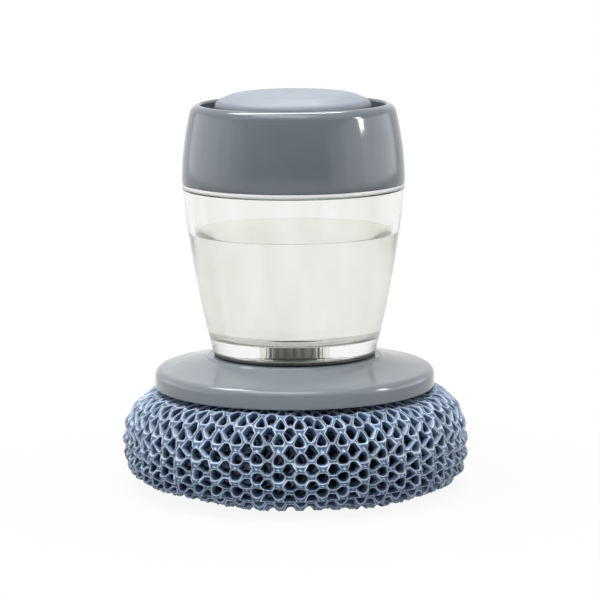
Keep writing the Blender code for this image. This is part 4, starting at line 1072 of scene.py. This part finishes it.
def build_net_ends():
    """The net's gathered neck up to its clamp, and the small ruffle under the tie."""
    clamp_radius, clamp_low, clamp_high = span("net_clamp")
    neck = clamp_radius - NECK_INSET
    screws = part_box("hub_screw_1")[0].z - FIT_GAP * 3
    outer_bend, inner_bend = NECK_BEND_RADII
    skirt = [(NET_TOP_RADIUS + NET_HALF_ROW * 2, SCOURER_HEIGHT - NET_TOP_DROP * NECK_TOP_SHARE),
             (outer_bend, screws), (inner_bend, screws - NECK_STEP), (neck, clamp_high),
             (neck, clamp_low - NECK_TAIL)]
    _, tie_low, _ = span("net_tie")
    ruffle = [(TIE_NECK_RADIUS, DIMPLE_HEIGHT), (TIE_NECK_RADIUS, tie_low), (RUFFLE_RADIUS, tie_low / 3)]
    for name, line, pleats, fold in (("net_neck", skirt, NET_COLUMNS, NECK_FOLD),
                                     ("net_ruffle", ruffle, RUFFLE_PLEATS, RUFFLE_FOLD)):
        fine = [Vector(a).lerp(Vector(b), share) for a, b in zip(line[:-1], line[1:])
                for share in np.linspace(0, 1, GATHER_STEPS, endpoint=False)] + [Vector(line[-1])]
        back = [point + Vector((0, GATHER_THICKNESS)) for point in reversed(fine)]
        skin = turned_mesh([tuple(point) for point in fine + back], pleats * GATHER_STEPS)
        dark = skin.verts.layers.float.new("depth")
        for corner in skin.verts:
            radius = math.hypot(corner.co.x, corner.co.y)
            wave = math.sin(math.atan2(corner.co.y, corner.co.x) * pleats)
            corner.co.z += wave * fold * min(1, abs(radius - neck) / GATHER_FADE)
            # Painted shade where the pleats dip down
            corner[dark] = GATHER_PAINTED_SHADE * (1 - wave)
        seat(object_from(name, skin, "inner net plastic"), "head", "mesh")


def build_scourer():
    """The outer net, the net behind it, the pad and the ends that are gathered and tied."""
    outer, inner = (build_cells(name, *settings) for name, settings in NETS.items())
    seat(outer, "head", "mesh", "scourer_net")
    seat(inner, "head", "mesh")
    build_core()
    build_net_ends()
    build_tie()


# The pump in the cap

def build_pump():
    """The lid over the tank's mouth, the bellows, its ring and the spring."""
    outer, low, high = span("pump_floor")
    base = low + PLUG_DEPTH
    top = base + PUMP_FLOOR_THICKNESS
    plug = NECK_RADIUS - NECK_WALL - FIT_GAP
    seal_radius, seal_low, seal_high = span("neck_seal")
    groove = seal_radius - (seal_high - seal_low) - FIT_GAP
    guide = GUIDE_RADIUS + GUIDE_WALL
    soft = FIT_GAP
    corners = [(GUIDE_RADIUS, base - GUIDE_WALL, soft), (guide, base - GUIDE_WALL, soft), (guide, base),
               (plug - PLUG_WALL, base), (plug - PLUG_WALL, low, soft), (plug, low, soft * 2),
               (plug, seal_low - soft), (groove, seal_low - soft), (groove, seal_high + soft),
               (plug, seal_high + soft), (plug, base), (outer, base, soft), (outer, top, soft),
               (guide, top), (guide, high, soft), (GUIDE_RADIUS, high, soft)]
    turned("pump_lid", corners, "pale lid plastic", "cap", "inner_grey", "pump_floor")

    outer, low, high = span("bellows_ring")
    inner = BELLOWS_END + BELLOWS_WALL / 2 + FIT_GAP
    corners = [(inner, low, soft), (outer, low, soft), (outer, (low + high) / 2, soft),
               (outer - (high - low) / 2, high, soft), (inner, high, soft)]
    turned("bellows_clamp_ring", corners, "inner white plastic", "cap", "inner_white", "bellows_ring")
    ring_height = high - low

    foot_radius, low, high = span("pump_bellows")
    rise = low + BELLOWS_WALL * 2 + ring_height
    outward = foot_radius * BELLOWS_FOLD_OUTER_SHARE - BELLOWS_END
    inward = BELLOWS_END - BELLOWS_FOLD_INNER
    line = [(foot_radius, low + BELLOWS_WALL / 2), (BELLOWS_END, low + BELLOWS_WALL / 2, soft)]
    for share in np.linspace(0, 1, BELLOWS_STEPS):
        swing = math.sin(math.pi * share * BELLOWS_TIPS)
        line.append((BELLOWS_END + swing * (outward if swing > 0 else inward),
                     rise + (high - BELLOWS_WALL * 1.5 - rise) * share))
    line += [(BELLOWS_END, high - BELLOWS_WALL / 2, soft), (BELLOWS_TOP_INNER, high - BELLOWS_WALL / 2)]
    fine = [Vector(point) for point in rounded(line, closed=False)]
    sides = ([], [])
    for index, point in enumerate(fine):
        run = fine[min(index + 1, len(fine) - 1)] - fine[max(index - 1, 0)]
        normal = run.normalized().orthogonal() * (BELLOWS_WALL / 2)
        for side, sign in zip(sides, (1, -1)):
            side.append(tuple(point + normal * sign))
    skin = turned_mesh(sides[0] + sides[1][::-1], SMALL_ROUND_STEPS)
    bellows = object_from("air_bellows", skin, "white silicone")
    seat(bellows, "cap", "white_silicone", "pump_bellows")

    wire_radius, wire_low, wire_high = span("return_spring")
    reach = wire_radius - SPRING_WIRE_RADIUS
    share = np.linspace(0, 1, SPRING_STEPS)
    rise = wire_low + SPRING_WIRE_RADIUS + (wire_high - wire_low - SPRING_WIRE_RADIUS * 2) * share
    points = polar(reach, math.tau * SPRING_TURNS * share, rise)
    spring = line_object("coil_spring", [points], SPRING_WIRE_RADIUS, "steel")
    seat(spring, "cap", "steel", "return_spring")
    for piece, floor, ceiling in ((bellows, low, high), (spring, wire_low, wire_high)):
        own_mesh(piece)


def dress_cad_nodes():
    """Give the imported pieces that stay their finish."""
    looks = {"outlet_valve": "dark silicone", "nozzle_hub": "inner grey plastic",
             "net_clamp": "dark plastic", "plunger": "inner white plastic",
             "hub_screw_1": "steel", "hub_screw_2": "steel", "hub_screw_3": "steel"}
    for node, look in looks.items():
        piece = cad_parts[node]
        piece.data.materials.clear()
        piece.data.materials.append(LOOKS[look])


# Stage

def build_floor():
    """A pale floor that takes the object's shadow and runs out to white."""
    disc = bmesh.new()
    bmesh.ops.create_circle(disc, cap_ends=True, segments=64, radius=FLOOR_RADIUS)
    look = Look("pale floor")
    look.set(Base_Color=display((206, 206, 206)), Roughness=0.9, Specular_IOR_Level=0.0)
    length = look.node("ShaderNodeVectorMath", {0: look.place}, operation="LENGTH").outputs["Value"]
    away = look.ranged(length, FLOOR_WHITE, 1, *FLOOR_FADE)
    path = look.node("ShaderNodeLightPath").outputs["Is Diffuse Ray"]
    seen = look.node("ShaderNodeMath", {0: 1.0, 1: path}, operation="SUBTRACT", use_clamp=True)
    share = look.node("ShaderNodeMath", {0: away, 1: seen.outputs["Value"]}, operation="MULTIPLY")
    look.mix_in(share.outputs["Value"], look.node("ShaderNodeEmission"))
    LOOKS["floor"] = look.material
    object_from("floor", disc, "floor")


def build_world():
    """Even light all round; mirrors and glass see white behind and a dimmer front."""
    world = bpy.data.worlds.new("studio")
    bpy.context.scene.world = world
    world.use_nodes = True
    nodes = Tree(world.node_tree)
    path = nodes.node("ShaderNodeLightPath").outputs
    place = nodes.node("ShaderNodeTexCoord").outputs["Generated"]
    back = nodes.node("ShaderNodeSeparateXYZ", {0: place}).outputs["Y"]
    level = AMBIENT
    gloss = nodes.ranged(back, *GLOSS_LEVELS, *GLOSS_TURN)
    glass = nodes.ranged(back, *GLASS_LEVELS, *GLASS_TURN, "SMOOTHSTEP")
    for ray, value in (("Is Glossy Ray", gloss), ("Is Transmission Ray", glass), ("Is Camera Ray", 1.0)):
        mix = nodes.node("ShaderNodeMix", {"Factor": path[ray], "A": level, "B": value})
        level = mix.outputs["Result"]
    nodes.feed(world.node_tree.nodes["Background"], {"Color": (1, 1, 1, 1), "Strength": level})


def add_lamp(name, place, size, power, lights, mirrored, tint=(1.0, 1.0, 1.0)):
    """A soft rectangular lamp that faces the object and lights matt surfaces or shows in glossy ones."""
    lamp = bpy.data.lights.new(name, "AREA")
    lamp.shape = "RECTANGLE"
    lamp.size, lamp.size_y = size
    lamp.energy = power
    lamp.color = tint
    holder = placed(name, lamp)
    holder.visible_diffuse = lights
    holder.visible_glossy = mirrored
    holder.visible_transmission = False
    holder.location = place
    holder.rotation_euler = (Vector(LAMP_TARGET) - Vector(place)).to_track_quat("-Z", "Y").to_euler()


def build_lamps():
    """The lamps above and behind, and the panels on both sides."""
    for name, settings in LAMPS.items():
        add_lamp(name, *settings)
    for side, (across, far_end, widths, strength) in SIDE_PANELS.items():
        for index, width in enumerate(widths):
            add_lamp(f"{side} panel {index + 1}", (across, far_end - width / 2, PANEL_LEVEL),
                     (width, PANEL_HEIGHT), strength * width, False, True, PANEL_TINT)


def build_camera():
    """The camera at the photograph's angle."""
    view = bpy.data.cameras.new("camera")
    view.lens = CAMERA_LENS
    view.sensor_width = SENSOR_WIDTH
    camera = placed("camera", view)
    camera.location = CAMERA_PLACE
    pitch = Euler((math.radians(CAMERA_PITCH), 0, 0)).to_matrix()
    roll = Euler((0, 0, math.radians(CAMERA_ROLL))).to_matrix()
    camera.rotation_euler = (pitch @ roll).to_euler()
    bpy.context.scene.camera = camera


for build in (build_plate, build_tank, build_soap, build_small_rings, build_cap, build_button, build_pump,
              build_scourer, dress_cad_nodes, build_floor, build_world, build_lamps, build_camera):
    build()
bpy.context.scene.view_settings.view_transform = "Standard"
